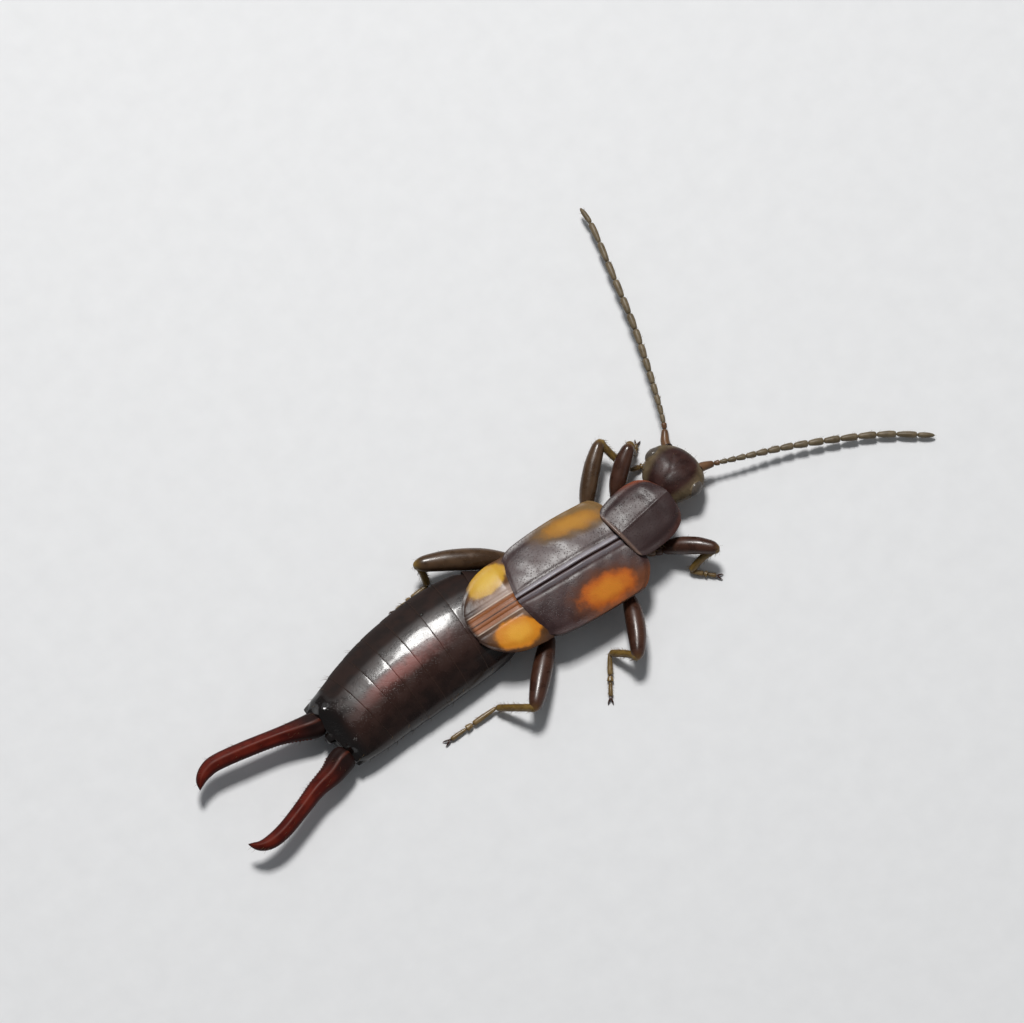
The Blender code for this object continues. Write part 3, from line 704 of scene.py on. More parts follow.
def grain_group():
    """Shell grain: fine pits and wrinkles as a height, and a slow unevenness as a mask."""
    tree, given, wanted = new_group(
        "Shell grain",
        {"Place": ("NodeSocketVector", None), "Scale": ("NodeSocketFloat", 9000.0),
         "Pits": ("NodeSocketFloat", 0.5), "Wrinkles": ("NodeSocketFloat", 0.5)},
        ("Height", "Mask"),
    )
    place, scale = given["Place"], given["Scale"]
    cells = add_node(tree, "ShaderNodeTexVoronoi", Vector=place, Scale=scale)
    pits = work(tree, "MULTIPLY", ramp(tree, cells.outputs["Distance"], 0.05, 0.38), given["Pits"])
    noise = add_node(tree, "ShaderNodeTexNoise", Vector=place, Scale=work(tree, "MULTIPLY", scale, 0.42),
                     Detail=5.0, Roughness=0.6)
    folds = work(tree, "MULTIPLY", noise.outputs[0], given["Wrinkles"])
    drift = add_node(tree, "ShaderNodeTexNoise", Vector=place, Scale=work(tree, "MULTIPLY", scale, 0.11),
                     Detail=3.0)
    tree.links.new(work(tree, "ADD", pits, folds), wanted["Height"])
    tree.links.new(ramp(tree, drift.outputs[0], 0.35, 0.65), wanted["Mask"])
    return tree


def spot_group():
    """A soft-edged oval mark on a plate, at a place on its unwrapped surface in centimetres."""
    tree, given, wanted = new_group(
        "Soft oval mark",
        {"Plate": ("NodeSocketVector", None), "Centre": ("NodeSocketVector", (0, 0, 0)),
         "Halves": ("NodeSocketVector", (1, 1, 1)), "Turn": ("NodeSocketFloat", 0.0),
         "Ragged": ("NodeSocketFloat", 0.25), "Soft": ("NodeSocketFloat", 0.5)},
        ("Mask",),
    )
    off = add_node(tree, "ShaderNodeVectorMath", {"operation": "SUBTRACT"}, n0=given["Plate"],
                   n1=given["Centre"])
    turned = add_node(tree, "ShaderNodeVectorRotate", {"rotation_type": "Z_AXIS"}, Vector=off.outputs[0],
                      Angle=given["Turn"])
    sized = add_node(tree, "ShaderNodeVectorMath", {"operation": "DIVIDE"}, n0=turned.outputs[0],
                     n1=given["Halves"])
    far = add_node(tree, "ShaderNodeVectorMath", {"operation": "LENGTH"}, n0=sized.outputs[0])
    noise = add_node(tree, "ShaderNodeTexNoise", Vector=given["Plate"], Scale=22.0, Detail=5.0)
    rough = work(tree, "MULTIPLY", work(tree, "SUBTRACT", noise.outputs[0], 0.5), given["Ragged"])
    edge = work(tree, "ADD", far.outputs["Value"], rough)
    outer, inner = work(tree, "ADD", 1.0, given["Soft"]), work(tree, "SUBTRACT", 1.0, given["Soft"])
    tree.links.new(ramp(tree, edge, outer, inner), wanted["Mask"])
    return tree


def shell_finishes(grain):
    """The finishes of the hard plates: abdomen, head, pronotum and forceps."""
    shell = Finish("abdomen shell").lay(grain, 15000.0, 0.55, 0.45,
                                        (0.01, 0.0042, 0.003), (0.019, 0.0075, 0.005))
    aside, along, high = shell.marked("aside", "along", "high")
    forward = add_node(shell.tree, "ShaderNodeSeparateXYZ", Vector=shell.place).outputs[0]
    # Painted light: a red glow along the crown, strongest midway along the abdomen, and a warmer band just
    # right of the crown, where light glows through the shell beside the highlight streak.
    painted_glow = shell.times(shell.window(aside, -0.14, 0.03, 0.28, 0.05),
                       shell.window(forward, -0.011, -0.0078, -0.0038, -0.007),
                       shell.band(shell.drift, -0.4, 0.8, 0.3, 0.85))
    shell.tint(painted_glow, (0.3, 0.07, 0.054))
    shell.tint(shell.window(aside, -0.1, 0.1, 0.7, 0.3), (0.06, 0.022, 0.015), 0.35)
    shell.tint(shell.window(along, 0.905, 0.93, 0.975, 0.955), (0.12, 0.07, 0.05), 0.35)
    shell.shade(high, 0.3, 0.02, (0.0085, 0.005, 0.0042))
    shell.shade(high, -0.35, -0.62, (0.075, 0.03, 0.013))
    rear = shell.band(forward, -0.0106, -0.0114)
    shell.tint(rear, (0.006, 0.0036, 0.003))
    matt = shell.band(shell.work("SUBTRACT", shell.band(aside, -0.3, -0.62), rear), 0.0, 1.0)
    rough = shell.band(matt, 0, 1, shell.band(rear, 0, 1, shell.uneven(0.24, 0.34), 0.12), 0.78)
    coat = shell.work("ADD", shell.band(matt, 0, 1, 0.25, 0.03), shell.times(rear, 0.35))

    head = Finish("head shell").lay(grain, 17000.0, 0.45, 0.6,
                                    (0.024, 0.0085, 0.007), (0.042, 0.0155, 0.0125))
    aside, along, high = head.marked("aside", "along", "high")
    olive = head.blend(head.drift, (0.092, 0.066, 0.036), (0.145, 0.106, 0.062))
    head.tint(head.band(head.work("ABSOLUTE", aside), 0.5, 0.82), olive)
    head.shade(along, 0.7, 0.88, olive)
    # Painted shade: the neck, under the front of the pronotum, is painted darker.
    head.shade(along, 0.2, 0.04, (0.017, 0.008, 0.007))
    head.shade(high, -0.2, -0.7, (0.12, 0.058, 0.024))

    leather = Finish("pronotum shell").lay(grain, 13000.0, 0.7, 0.55,
                                           (0.022, 0.008, 0.008), (0.038, 0.015, 0.0145))
    edge, along, reach, out = leather.marked("edge", "along", "reach", "out")
    rim = leather.times(leather.band(edge, 0.78, 1.0), leather.band(along, 0.4, 0.75),
                        leather.band(reach, 0.55, 0.9))
    leather.tint(rim, (0.27, 0.06, 0.02))
    # Painted shade: the right half of the pronotum, which is turned away from the light, is painted darker.
    right = leather.band(out, 0.05, -0.25)
    leather.tint(right, (0.024, 0.0062, 0.0062), 0.8)
    leather.shade(along, 0.17, 0.12, (0.17, 0.105, 0.08), 0.8)
    dull = leather.band(right, 0, 1, leather.uneven(0.38, 0.52), 0.66)

    blade = Finish("forceps horn").lay(grain, 14000.0, 0.35, 0.5,
                                       (0.07, 0.0062, 0.0034), (0.122, 0.0118, 0.0048))
    aside, along, high = blade.marked("aside", "along", "high")
    aside = blade.work("ABSOLUTE", aside)
    # Painted shade: the blade is painted darker towards both sides, so that its rounded middle looks lit.
    blade.shade(aside, 0.45, 0.95, (0.036, 0.0045, 0.0035), 0.8)
    blade.shade(along, 0.42, 0.2, (0.014, 0.0048, 0.0038))
    blade.shade(along, 0.86, 0.98, (0.009, 0.003, 0.003))
    ridge = blade.times(blade.band(aside, 0.22, 0.05), blade.band(high, 0.75, 0.98))
    blade.tint(ridge, (0.2, 0.036, 0.014), 0.25)
    return {
        "shell": shell.done(rough, 0.007, coat, coat_roughness=0.08),
        "head": head.done(head.uneven(0.38, 0.48), 0.01, 0.06, coat_roughness=0.18, shine=0.2,
                          light_in=0.03),
        "pronotum": leather.done(dull, 0.016, 0.08, coat_roughness=0.25, shine=0.46, light_in=0.03),
        "blade": blade.done(blade.uneven(0.42, 0.52), 0.006, shine=0.17, light_in=0.03),
    }


def wing_finishes(grain, spot):
    """The finishes of the fore wings and of the wing tips, with a pale mark on each."""
    made = {}
    for word, centre, halves, turn, tint, bright, round_it, painted_sheen, shine in (
        ("left", (0.4, 0.178), (0.142, 0.043), 0.18, (0.32, 0.136, 0.009), (0.46, 0.21, 0.014),
         (0.2, 0.108, 0.024), 0.85, 0.62),
        ("right", (0.37, -0.166), (0.134, 0.063), 0.05, (0.47, 0.105, 0.005), (0.62, 0.215, 0.01),
         (0.16, 0.046, 0.012), 0.42, 0.42),
    ):
        wing = Finish(f"fore wing leather {word}").lay(grain, 11000.0, 0.5, 0.8,
                                                       (0.034, 0.015, 0.015), (0.056, 0.027, 0.0265))
        reach, along = wing.marked("reach", "along")
        outer = wing.times(wing.band(reach, 0.58, 0.84), wing.band(along, 0.3, 0.62))
        wing.tint(outer, round_it, 0.85)
        wing.shade(reach, 0.99, 1.04, (0.042, 0.02, 0.013))
        # Painted sheen: a silvery band just beside the seam, stronger on the left wing, which faces the
        # light.
        wing.tint(wing.window(reach, 0.13, 0.07, 0.012, 0.035), (0.3, 0.28, 0.31), painted_sheen)
        halo, glow, core = wing.ovals(spot, centre, halves, turn, (
            (1.3, 1.45, 0.6, 0.42), (1, 1, 0.75, 0.26), (0.62, 0.62, 0.9, 0.55)))
        wing.tint(halo, round_it, 0.7)
        wing.tint(glow, tint)
        wing.tint(core, bright, 0.8)
        rough = wing.band(wing.work("MAXIMUM", halo, outer), 0.0, 0.9, wing.uneven(0.4, 0.54), 0.8)
        made[f"fore_wing_{word}"] = wing.done(rough, 0.014, 0.08, coat_roughness=0.25, shine=shine,
                                              light_in=0.05)

    for word, turn, centre, halves, tint, bright, pale in (
        ("left", -0.25, (-0.062, 0.152), (0.1, 0.061), (0.54, 0.3, 0.03), (0.72, 0.47, 0.08), 0.9),
        ("right", 0.25, (-0.073, -0.125), (0.106, 0.065), (0.64, 0.225, 0.014), (0.84, 0.42, 0.045), 0.35),
    ):
        tip = Finish(f"wing tip membrane {word}").lay(grain, 10000.0, 0.25, 0.9,
                                                      (0.034, 0.015, 0.009), (0.058, 0.027, 0.016))
        out, edge, reach = tip.marked("out", "edge", "reach")
        tip.tint(tip.times(tip.band(out, 1.05, 0.7), tip.band(edge, 0.85, 0.35)), (0.4, 0.29, 0.24), pale)
        tip.shade(out, 0.42, 0.34, (0.27, 0.085, 0.02))
        tip.tint(tip.window(out, 0.48, 0.44, 0.39, 0.42), (0.56, 0.43, 0.34), 0.85)
        tip.tint(tip.window(out, 0.24, 0.21, 0.15, 0.18), (0.13, 0.044, 0.014), 0.45)
        tip.shade(out, 0.05, 0.01, (0.08, 0.028, 0.012))
        halo, glow, core = tip.ovals(spot, centre, halves, turn, (
            (1.2, 1.25, 0.4, 0.3), (1, 1, 0.55, 0.14), (0.6, 0.6, 0.8, 0.6)))
        tip.tint(halo, (0.19, 0.075, 0.014), 0.7)
        # The dark outer margin towards the rear is the tip's own colour; the dark line along the rear edge is
        # a painted shadow under that edge.
        rim = tip.times(tip.band(reach, 0.8, 0.93), tip.band(edge, 0.42, 0.62))
        tip.tint(tip.work("MAXIMUM", rim, tip.band(edge, 0.82, 0.97)), (0.032, 0.014, 0.0085))
        tip.tint(glow, tint)
        tip.tint(core, bright, 0.8)
        rough = tip.band(edge, 0.8, 0.95, tip.uneven(0.32, 0.44), 0.8)
        made[f"wing_tip_{word}"] = tip.done(rough, 0.01, 0.05, coat_roughness=0.2, light_in=0.05)
    return made


def limb_finishes(grain):
    """The finishes of the legs, feelers, skin, hair and eyes."""
    made = {}
    for name, dark, light, ends in (
        ("thigh", (0.04, 0.015, 0.0088), (0.064, 0.025, 0.0145), (0.18, 0.092, 0.026)),
        ("thigh_olive", (0.052, 0.027, 0.013), (0.082, 0.044, 0.021), (0.27, 0.165, 0.036)),
        ("shin", (0.15, 0.09, 0.022), (0.215, 0.135, 0.038), (0.1, 0.055, 0.018)),
        ("foot", (0.15, 0.095, 0.034), (0.215, 0.14, 0.054), (0.08, 0.042, 0.018)),
        ("hip", (0.085, 0.04, 0.017), (0.125, 0.062, 0.026), (0.06, 0.026, 0.012)),
    ):
        leg = Finish(f"leg {name}").lay(grain, 16000.0, 0.3, 0.6, dark, light)
        (along,) = leg.marked("along")
        leg.shade(along, 0.8, 0.99, ends)
        leg.shade(along, 0.14, 0.0, ends)
        made[name] = leg.done(leg.uneven(0.26, 0.38), 0.005, 0.2, coat_roughness=0.14, light_in=0.05)

    bead = Finish("feeler bead").lay(grain, 19000.0, 0.55, 0.6,
                                     (0.115, 0.086, 0.048), (0.17, 0.13, 0.078))
    ends = bead.work("ABSOLUTE", bead.work("SUBTRACT", *bead.marked("along"), 0.5))
    bead.shade(ends, 0.38, 0.5, (0.2, 0.155, 0.085))
    made["bead"] = bead.done(0.46, 0.006, 0.1, coat_roughness=0.3, light_in=0.05)

    scape = Finish("feeler root").lay(grain, 17000.0, 0.35, 0.6,
                                      (0.105, 0.048, 0.021), (0.155, 0.076, 0.034))
    scape.shade(*scape.marked("along"), 0.88, 0.99, (0.06, 0.026, 0.013))
    made["scape"] = scape.done(0.36, 0.006, 0.15, coat_roughness=0.2, light_in=0.05)

    skin = Finish("joint skin").lay(grain, 12000.0, 0.1, 1.0, (0.14, 0.07, 0.03), (0.22, 0.125, 0.06))
    made["skin"] = skin.done(0.5, 0.012, light_in=0.15)

    hair = Finish("bristle").lay(grain, 22000.0, 0.2, 0.4, (0.11, 0.065, 0.028), (0.2, 0.125, 0.055))
    made["hair"] = hair.done(0.4, 0.002)

    eye = Finish("faceted eye")
    cells = add_node(eye.tree, "ShaderNodeTexVoronoi", {"feature": "DISTANCE_TO_EDGE"}, Vector=eye.place,
                     Scale=24000.0)
    eye.height = eye.band(cells.outputs["Distance"], 0.0, 0.16)
    eye.colour = eye.blend(eye.height, (0.06, 0.047, 0.038), (0.118, 0.096, 0.078))
    made["eye"] = eye.done(0.34, 0.01, 0.25, coat_roughness=0.12)
    return made


def make_abdomen(paint):
    """The abdomen: ring over ring, with humps on the last, an end plate and a fold in its left side."""
    line = soft_rows(ABDOMEN_LINE, 600)
    within_at, step_at = (np.array(RING_SHAPE)[:, column] for column in (1, 2))
    shares = [row[0] for row in RING_SHAPE]
    rings = []
    for number, (front, back) in enumerate(zip(RING_EDGES, RING_EDGES[1:]), 1):

        def rule(x, y, z, front=front, back=back, last=number == len(RING_EDGES) - 1):
            step = float(np.interp(x, shares, step_at)) * RING_STEP
            within = float(np.interp(x, shares, within_at))
            row = read(line, front + (back - front) * within)
            ahead = Vector((*(read(line, min(back, 0.99))[:2] - read(line, front)[:2]), 0)).normalized()
            wide, tall = oval(y, z, ABDOMEN_POWER)
            rise = row[4] - row[2] if z > 0 else row[2] - row[5]
            grow = step - hump(z, -0.30, 0.07) * 0.03 * soft_step(x, 0.25, 0.5)
            out = wide * (row[3] + grow)
            high = row[2] + tall * (rise + (grow if z > 0 else min(grow, 0)))
            if last and z > 0:
                behind = soft_step(within, 0.50, 1.0)
                high -= 0.42 * behind**2 * z
                high += 0.28 * (hump(y, 0.58, 0.16) + hump(y, -0.58, 0.16)) * hump(within, 0.84, 0.15) * z
                high -= 0.10 * hump(y, 0.0, 0.18) * behind
                out *= 1 - 0.09 * soft_step(within, 0.70, 1.0)
            return Vector((row[0], row[1], max(high, 0.0))) - ahead.cross(UP) * out

        rings.append(shaped(blank(f"abdomen_ring_{number}", 96, 30), rule))
        ready(rings[-1], paint["shell"], "shell", "abdomen")

    row = min(line, key=lambda row: abs(row[0] - FOLD_X))
    high = row[2] + (row[4] - row[2]) * (1 - (FOLD_OUT / row[3]) ** ABDOMEN_POWER) ** (1 / ABDOMEN_POWER)
    fold = ball("side_fold", (FOLD_X, row[1] + FOLD_OUT, high - 0.012), FOLD_HALVES, 0.1)
    ready(fold, paint["shell"], "shell")

    x, y = line[-1][:2]
    end_rows = [(x + 0.35, y, 0.92, 0.30, 0.30), (x - 0.06, y, 0.94, 0.27, 0.26),
                (x - 0.30, y, 0.92, 0.18, 0.16)]
    ready(limb("pygidium", end_rows, 28, 18, 0.2, 2.6), paint["shell"], "shell", "abdomen")

    def at_rim(place, normal):
        return normal.z < 0.75 and place.z > 0.35

    for number in (3, 5, 7, 9):
        bristles(paint, "shell", f"abdomen_bristles_{number}", rings[number - 1], 46, 0.26, number, BACKWARD,
                 at_rim)


def make_blade(word, side, paint):
    """A blade of the forceps: ridged above, toothed along the inner edge, hooked in at its tip."""

    def ridge(share, y, z):
        rise = hump(y, 0.0, 0.36) * soft_step(share, 0.02, 0.15) - hump(y, 0.5, 0.2) - hump(y, -0.5, 0.2)
        return 0.05 * rise * (z > 0) * (1 - share)

    blade = limb(f"forceps_{word}", BLADES[word], 48, 150, 0.05, 1.85, 0.05, ridge)
    ready(blade, paint["blade"], "forceps_red", f"forceps_{word}")

    route = Route(BLADES[word])
    teeth = []
    for number in range(TEETH):
        row, _, across, _ = route.at(0.13 + 0.46 * number / TEETH)
        inward = across * side
        size = 0.070 - 0.0012 * number
        root = Vector(row[:3]) + inward * (row[3] - 0.07)
        tip = Vector(row[:3]) + inward * (row[3] + 0.045 - 0.0015 * number)
        sizes = ((0, size), (0.6, size * 0.8), (1, size * 0.35))
        rows = between(root, tip, *((share, half, half) for share, half in sizes))
        teeth.append(limb(f"tooth_{number}", rows, 12, 10, 0.2))
    ready(joined(f"forceps_{word}_teeth", teeth), paint["blade"], "forceps_red")
    bristles(paint, "forceps_red", f"forceps_{word}_bristles", blade, 70, 0.22, 31 + side, BACKWARD,
             lambda place, normal: place.x < -12.2, 0.007)


def plate(name, columns, rows, start, turn, surface, thick):
    """A shell plate in a length of the body: a grid laid on a surface and made thick.

    surface(u, v) gives forward, out and height, and the marks edge, reach and out. The plate is
    unwrapped by where its corners lie forward and out, in centimetres.
    """
    deselect()
    bpy.ops.mesh.primitive_grid_add(x_subdivisions=columns, y_subdivisions=rows, size=1,
                                    location=(0.5, 0.5, 0))
    piece = settled(name)
    spots, marks = [], []
    for corner in piece.data.vertices:
        u, v = corner.co.x, corner.co.y
        forward, out, high, *marked = surface(u, v)
        spots.append((forward / 10, out / 10))
        marks.append((u, *marked))
        corner.co = placed(start, turn, forward, out, high) * MM
    layer = piece.data.uv_layers.active or piece.data.uv_layers.new(name="Plate")
    layer.name = "Plate"
    for loop in piece.data.loops:
        layer.data[loop.index].uv = spots[loop.vertex_index]
    for title, values in zip(("along", "edge", "reach", "out"), zip(*marks)):
        mark(piece, title, values)
    tidy_faces(piece)
    if sum(face.normal.z * face.area for face in piece.data.polygons) < 0:
        edit_all(bpy.ops.mesh.flip_normals)
    wall = piece.modifiers.new("Thickness", "SOLIDIFY")
    wall.thickness = thick * MM
    wall.offset = -1
    soft = piece.modifiers.new("Soft rim", "BEVEL")
    soft.width = thick * 0.42 * MM
    soft.segments = 3
    soft.limit_method = "ANGLE"
    soft.angle_limit = math.radians(50)
    pick(piece)
    for modifier in list(piece.modifiers):
        bpy.ops.object.modifier_apply(modifier=modifier.name)
    bpy.ops.object.shade_smooth()
    return piece


def make_pronotum(paint):
    """The plate behind the head, with a raised rim and a faint line along its middle."""
    half_at = from_table(PRONOTUM_EDGE)
    long = PRONOTUM_EDGE[-1][0]

    def surface(u, v):
        forward = long * ease(u)
        share = 2 * v - 1
        out = share * half_at(forward)
        side = abs(share)
        ends = abs(2 * forward / long - 1)
        low = soft_step(u, 0.15, 0.75)
        high = PRONOTUM_TOP + 0.08 + 0.035 * hump(u, 0.10, 0.05)
        high -= (0.15 + 0.05 * low) * side + (0.08 + 0.20 * low) * side**4
        high -= 0.10 * soft_step(forward, 2.3, 3.02)
        high += 0.02 * hump(side, 0.0, 0.05) * soft_step(u, 0.1, 0.3) * (1 - soft_step(u, 0.65, 0.9))
        high -= 0.05 * hump(side, 0.84, 0.09) * (1 - ends**3)
        high -= 0.05 * hump(forward, 2.15, 0.22) * hump(side, 0.35, 0.30)
        high += 0.012 * math.sin(forward * 4.7 + out * 2.1) * math.sin(out * 5.3 - forward * 1.9)
        return forward, out, high, max(side, ends**1.5), side, out

    piece = plate("pronotum", 90, 90, PRONOTUM_BACK, PRONOTUM_TURN, surface, 0.20)
    ready(piece, paint["pronotum"], "wing_leather", "pronotum")
    bristles(paint, "wing_leather", "pronotum_bristles", piece, 60, 0.2, 5, (0.3, 0, 0),
             lambda place, normal: place.z < 2.12, 0.008)


def make_fore_wing(word, side, paint):
    """A leathery fore wing: from the seam out to its keel, then down the flank."""
    keel_at, front_at = from_table(TEGMEN_KEEL), from_table(TEGMEN_FRONTS[word])

    def surface(u, v):
        reach = min(v / KEEL_SHARE, 1.0)
        front = front_at(reach) - 0.22 * soft_step(v, 0.82, 1.0)
        back = TEGMEN_BACK * reach**1.4 + 0.25 * soft_step(v, 0.80, 1.0)
        forward = back + (front - back) * u
        corner = 0.05 * (1 - soft_step(u, 0.0, 0.08)) * reach**4
        out = 0.02 + (keel_at(forward) - 0.02 - corner) * reach
        high = SEAM_HIGH - 0.16 * reach - (SEAM_HIGH - KEEL_HIGH - 0.16) * reach**2.6
        high += 0.03 * hump(reach, 0.045, 0.035) - 0.03 * hump(reach, 0.0, 0.012)
        high -= 0.02 * hump(reach, 0.14, 0.04)
        high += 0.03 * hump(v, KEEL_SHARE, 0.03) - 0.02 * hump(v, KEEL_SHARE - 0.09, 0.04)
        high -= 0.20 * soft_step(forward, 3.2, 5.5) * (1 - 0.5 * reach)
        high += 0.010 * math.sin(forward * 5.1 + reach * 4) * math.sin(reach * 9 + forward * 1.7)
        if v > KEEL_SHARE:
            down = (v - KEEL_SHARE) / (1 - KEEL_SHARE)
            high -= FLANK_DROP * down**1.1
            out -= 0.10 * down**2
        high -= 0.12 * soft_step(front - forward, 0.32, 0.05) + 0.04 * (1 - soft_step(u, 0.0, 0.04))
        return forward, side * out, high, min(u, 1 - u), v / KEEL_SHARE, side * out

    piece = plate(f"fore_wing_{word}", 110, 90, WINGS_BACK, WINGS_TURN, surface, 0.16)
    ready(piece, paint[f"fore_wing_{word}"], "wing_leather", f"fore_wing_{word}")


def make_wing_tip(word, side, paint):
    """The tip of a folded hind wing, with its folds and veins, tucked under the fore wing."""
    half_at = from_table(WING_TIP_EDGE)
    long = WING_TIP_EDGE[-1][0]

    def surface(u, v):
        start = TEGMEN_BACK * v**1.4 + 0.42
        back = long * (1 - 0.05 * v**2)
        forward = start - (start + back) * (1 - (1 - u) ** 1.3)
        out = -0.02 + (half_at(max(0.0, min(-forward, long))) + 0.02) * v
        high = SEAM_HIGH - 0.07 - 0.20 * soft_step(-forward, 0.0, long) - 0.40 * (max(out, 0.0) / 2.18) ** 2.4
        high -= 0.10 * soft_step(forward, -0.15, 0.30) + 0.02 * hump(v, 0.86, 0.07)
        high += 0.022 * hump(out, 0.43, 0.04) - 0.02 * hump(out, 0.22, 0.05) - 0.015 * hump(out, 0.60, 0.06)
        return forward, side * out, high, u, v, abs(out)

    piece = plate(f"wing_tip_{word}", 70, 60, WINGS_BACK, WINGS_TURN, surface, 0.10)
    ready(piece, paint[f"wing_tip_{word}"], "amber", f"wing_tip_{word}")


def body_length(name, start, turn, rows, sides, rings, power, dents=None):
    """A length of the body through rows of forward, half width, height, rise and drop."""
    rows = soft_rows(rows)

    def rule(x, y, z):
        row = read(rows, ease(x))
        wide, tall = oval(y, z, power)
        out = wide * row[1]
        high = row[2] + tall * (row[3] if z > 0 else row[4]) + (dents(row[0], out, z) if dents else 0.0)
        return placed(start, turn, row[0], out, high)

    return shaped(blank(name, sides, rings), rule)


def head_dents(forward, out, z):
    """The branched seam of the head's crown, the hollows before it and the low swellings beside it."""
    if z < 0.1:
        return 0.0
    side = abs(out)
    middle, wide = (0.0, 0.045) if forward < SEAM_FORK else ((forward - SEAM_FORK) * 0.62, 0.05)
    seam = hump(side, middle, wide) * soft_step(forward, 0.05, 0.3) * (1 - soft_step(forward, 1.70, 1.95))
    hollow = hump(side, 0.42, 0.22) * hump(forward, 1.62, 0.20)
    brow = hump(side, 0.30, 0.22) * hump(forward, 0.70, 0.35)
    return -0.014 * seam - 0.018 * hollow + 0.01 * brow


def on_head(forward, out, high):
    return placed(HEAD_BACK, HEAD_TURN, forward, out, high)


def make_head(paint):
    head = body_length("head", HEAD_BACK, HEAD_TURN, HEAD_RINGS, 128, 90, 2.15, head_dents)
    ready(head, paint["head"], "shell", "head")
    forward, out, high = EYE_PLACE
    for word, side in SIDES.items():
        turn = HEAD_TURN - side * EYE_TURN
        eye = ball(f"eye_{word}", on_head(forward, side * out, high), EYE_HALVES, turn, 48, 32)
        ready(eye, paint["eye"], "eye", f"eye_{word}")
        place = on_head(forward, side * (out - 0.05), high - 0.01)
        rim = ball(f"eye_rim_{word}", place, EYE_RIM_HALVES, turn, 48, 32)
        for name, value in (("aside", 1.0), ("along", 0.5)):
            mark(rim, name, [value] * len(rim.data.vertices))
        ready(rim, paint["head"], "shell")
    bristles(paint, "shell", "head_bristles", head, 120, 0.17, 3, (0.5, 0.2, 0.1),
             lambda place, normal: place.z > 0.8, 0.007)


def make_mouthparts(paint):
    """The face below the brow: shield, lip, chin, jaws and the jointed palps."""
    pieces = [
        ball("face_shield", on_head(2.24, 0, 0.72), (0.20, 0.52, 0.26), HEAD_TURN),
        ball("upper_lip", on_head(2.36, 0, 0.46), (0.13, 0.38, 0.20), HEAD_TURN),
        body_length("chin", HEAD_BACK, HEAD_TURN, CHIN_RINGS, 40, 24, 2.4),
    ]
    for side in SIDES.values():
        rows = [(*on_head(forward, side * out, high), wide, tall) for forward, out, high, wide, tall in JAW]
        pieces.append(limb("jaw", rows, 20, 22, 0.12, 2.3))
        for name, path, sides, (root, middle, end) in (
            ("palp_joint", PALP, 14, (0.055, 0.075, 0.06)),
            ("lip_palp_joint", LIP_PALP, 12, (0.04, 0.055, 0.045)),
        ):
            stops = [on_head(forward, side * out, high) for forward, out, high in path]
            for first, second in zip(stops, stops[1:]):
                rows = between(first, second, (0, root, root), (0.6, middle, middle), (1, end, end))
                pieces.append(limb(name, rows, sides, 12, 0.18))
    ready(joined("mouthparts", pieces), paint["skin"], "underside", "mouthparts")


def make_feeler(word, side, paint):
    """A feeler: a stout first joint, a short second and a row of beads that grow longer towards the tip."""
    base = on_head(FEELER_SOCKET[0], side * FEELER_SOCKET[1], FEELER_SOCKET[2])
    route = Route([tuple(base), *FEELERS[word]])
    longs = [1.45, 0.36] + [0.50 + 0.062 * number for number in range(FEELER_JOINTS - 2)]
    longs[-1] *= 0.8
    ends = np.concatenate([[0], np.cumsum(longs)]) / sum(longs)
    beads = []
    for number, (start, end) in enumerate(zip(ends, ends[1:])):
        far = (number - 2) / (FEELER_JOINTS - 3)
        half = (0.21, 0.125)[number] if number < 2 else 0.115 + 0.050 * math.sin(math.pi * min(far * 0.85, 1))
        shape = {0: ROOT_SHAPE, FEELER_JOINTS - 1: LAST_SHAPE}.get(number, BEAD_SHAPE)
        rows = [
            (*route.at(start + (end - start) * share)[0][:3], half * swell, half * swell)
            for share, swell in shape
        ]
        beads.append(limb(f"bead_{number}", rows, 18, 16, 0.06))
    ready(joined(f"antenna_{word}_root", beads[:2]), paint["scape"], "feeler")
    core = [(*route.at(share)[0][:3], 0.06, 0.06) for share in np.linspace(0.0, 0.985, 12)]
    feeler = joined(f"antenna_{word}", [*beads[2:], limb("core", core, 8, 60, 0.01)])
    ready(feeler, paint["bead"], "feeler", f"antenna_{word}")

    def outward(place):
        near = np.argmin(np.linalg.norm(route.rows[:, :3] - np.array(place), axis=1)) / len(route.rows)
        return route.at(near)[1]

    bristles(paint, "feeler", f"antenna_{word}_bristles", feeler, 420, 0.13, 11 + side, outward, None, 0.006)
    root, heading, _, _ = route.at(0.02)
    ready(collar(f"antenna_socket_{word}", root[:3], heading, 0.19, 0.055), paint["head"], "shell")


def make_trunk(paint):
    """The trunk below the plates and the hips that grow from it."""
    fore = body_length("forebody", PRONOTUM_BACK, PRONOTUM_TURN, FOREBODY_RINGS, 56, 40, 2.3)
    hind = body_length("hindbody", WINGS_BACK, WINGS_TURN, HINDBODY_RINGS, 56, 44, 2.4)
    ready(fore, paint["hip"], "underside", "forebody")
    ready(hind, paint["hip"], "underside", "hindbody")
    for name, points in LEGS.items():
        base, hip, knee = (Vector(point) for point in points[:3])
        rows = between(base, hip, (0, 0.40, 0.34), (0.5, 0.42, 0.36), (0.9, 0.34, 0.30))
        rows += between(hip, knee, (0.03, 0.24, 0.22))
        ready(limb(f"hip_{name}", rows, 28, 22, 0.12, 2.2), paint["hip"], "underside")
        rows = between(hip, knee, (-0.03, 0.22, 0.22), (0.04, 0.26, 0.26), (0.12, 0.22, 0.22))
        ready(limb(f"hip_ring_{name}", rows, 24, 16, 0.15), paint["thigh"], "leg")


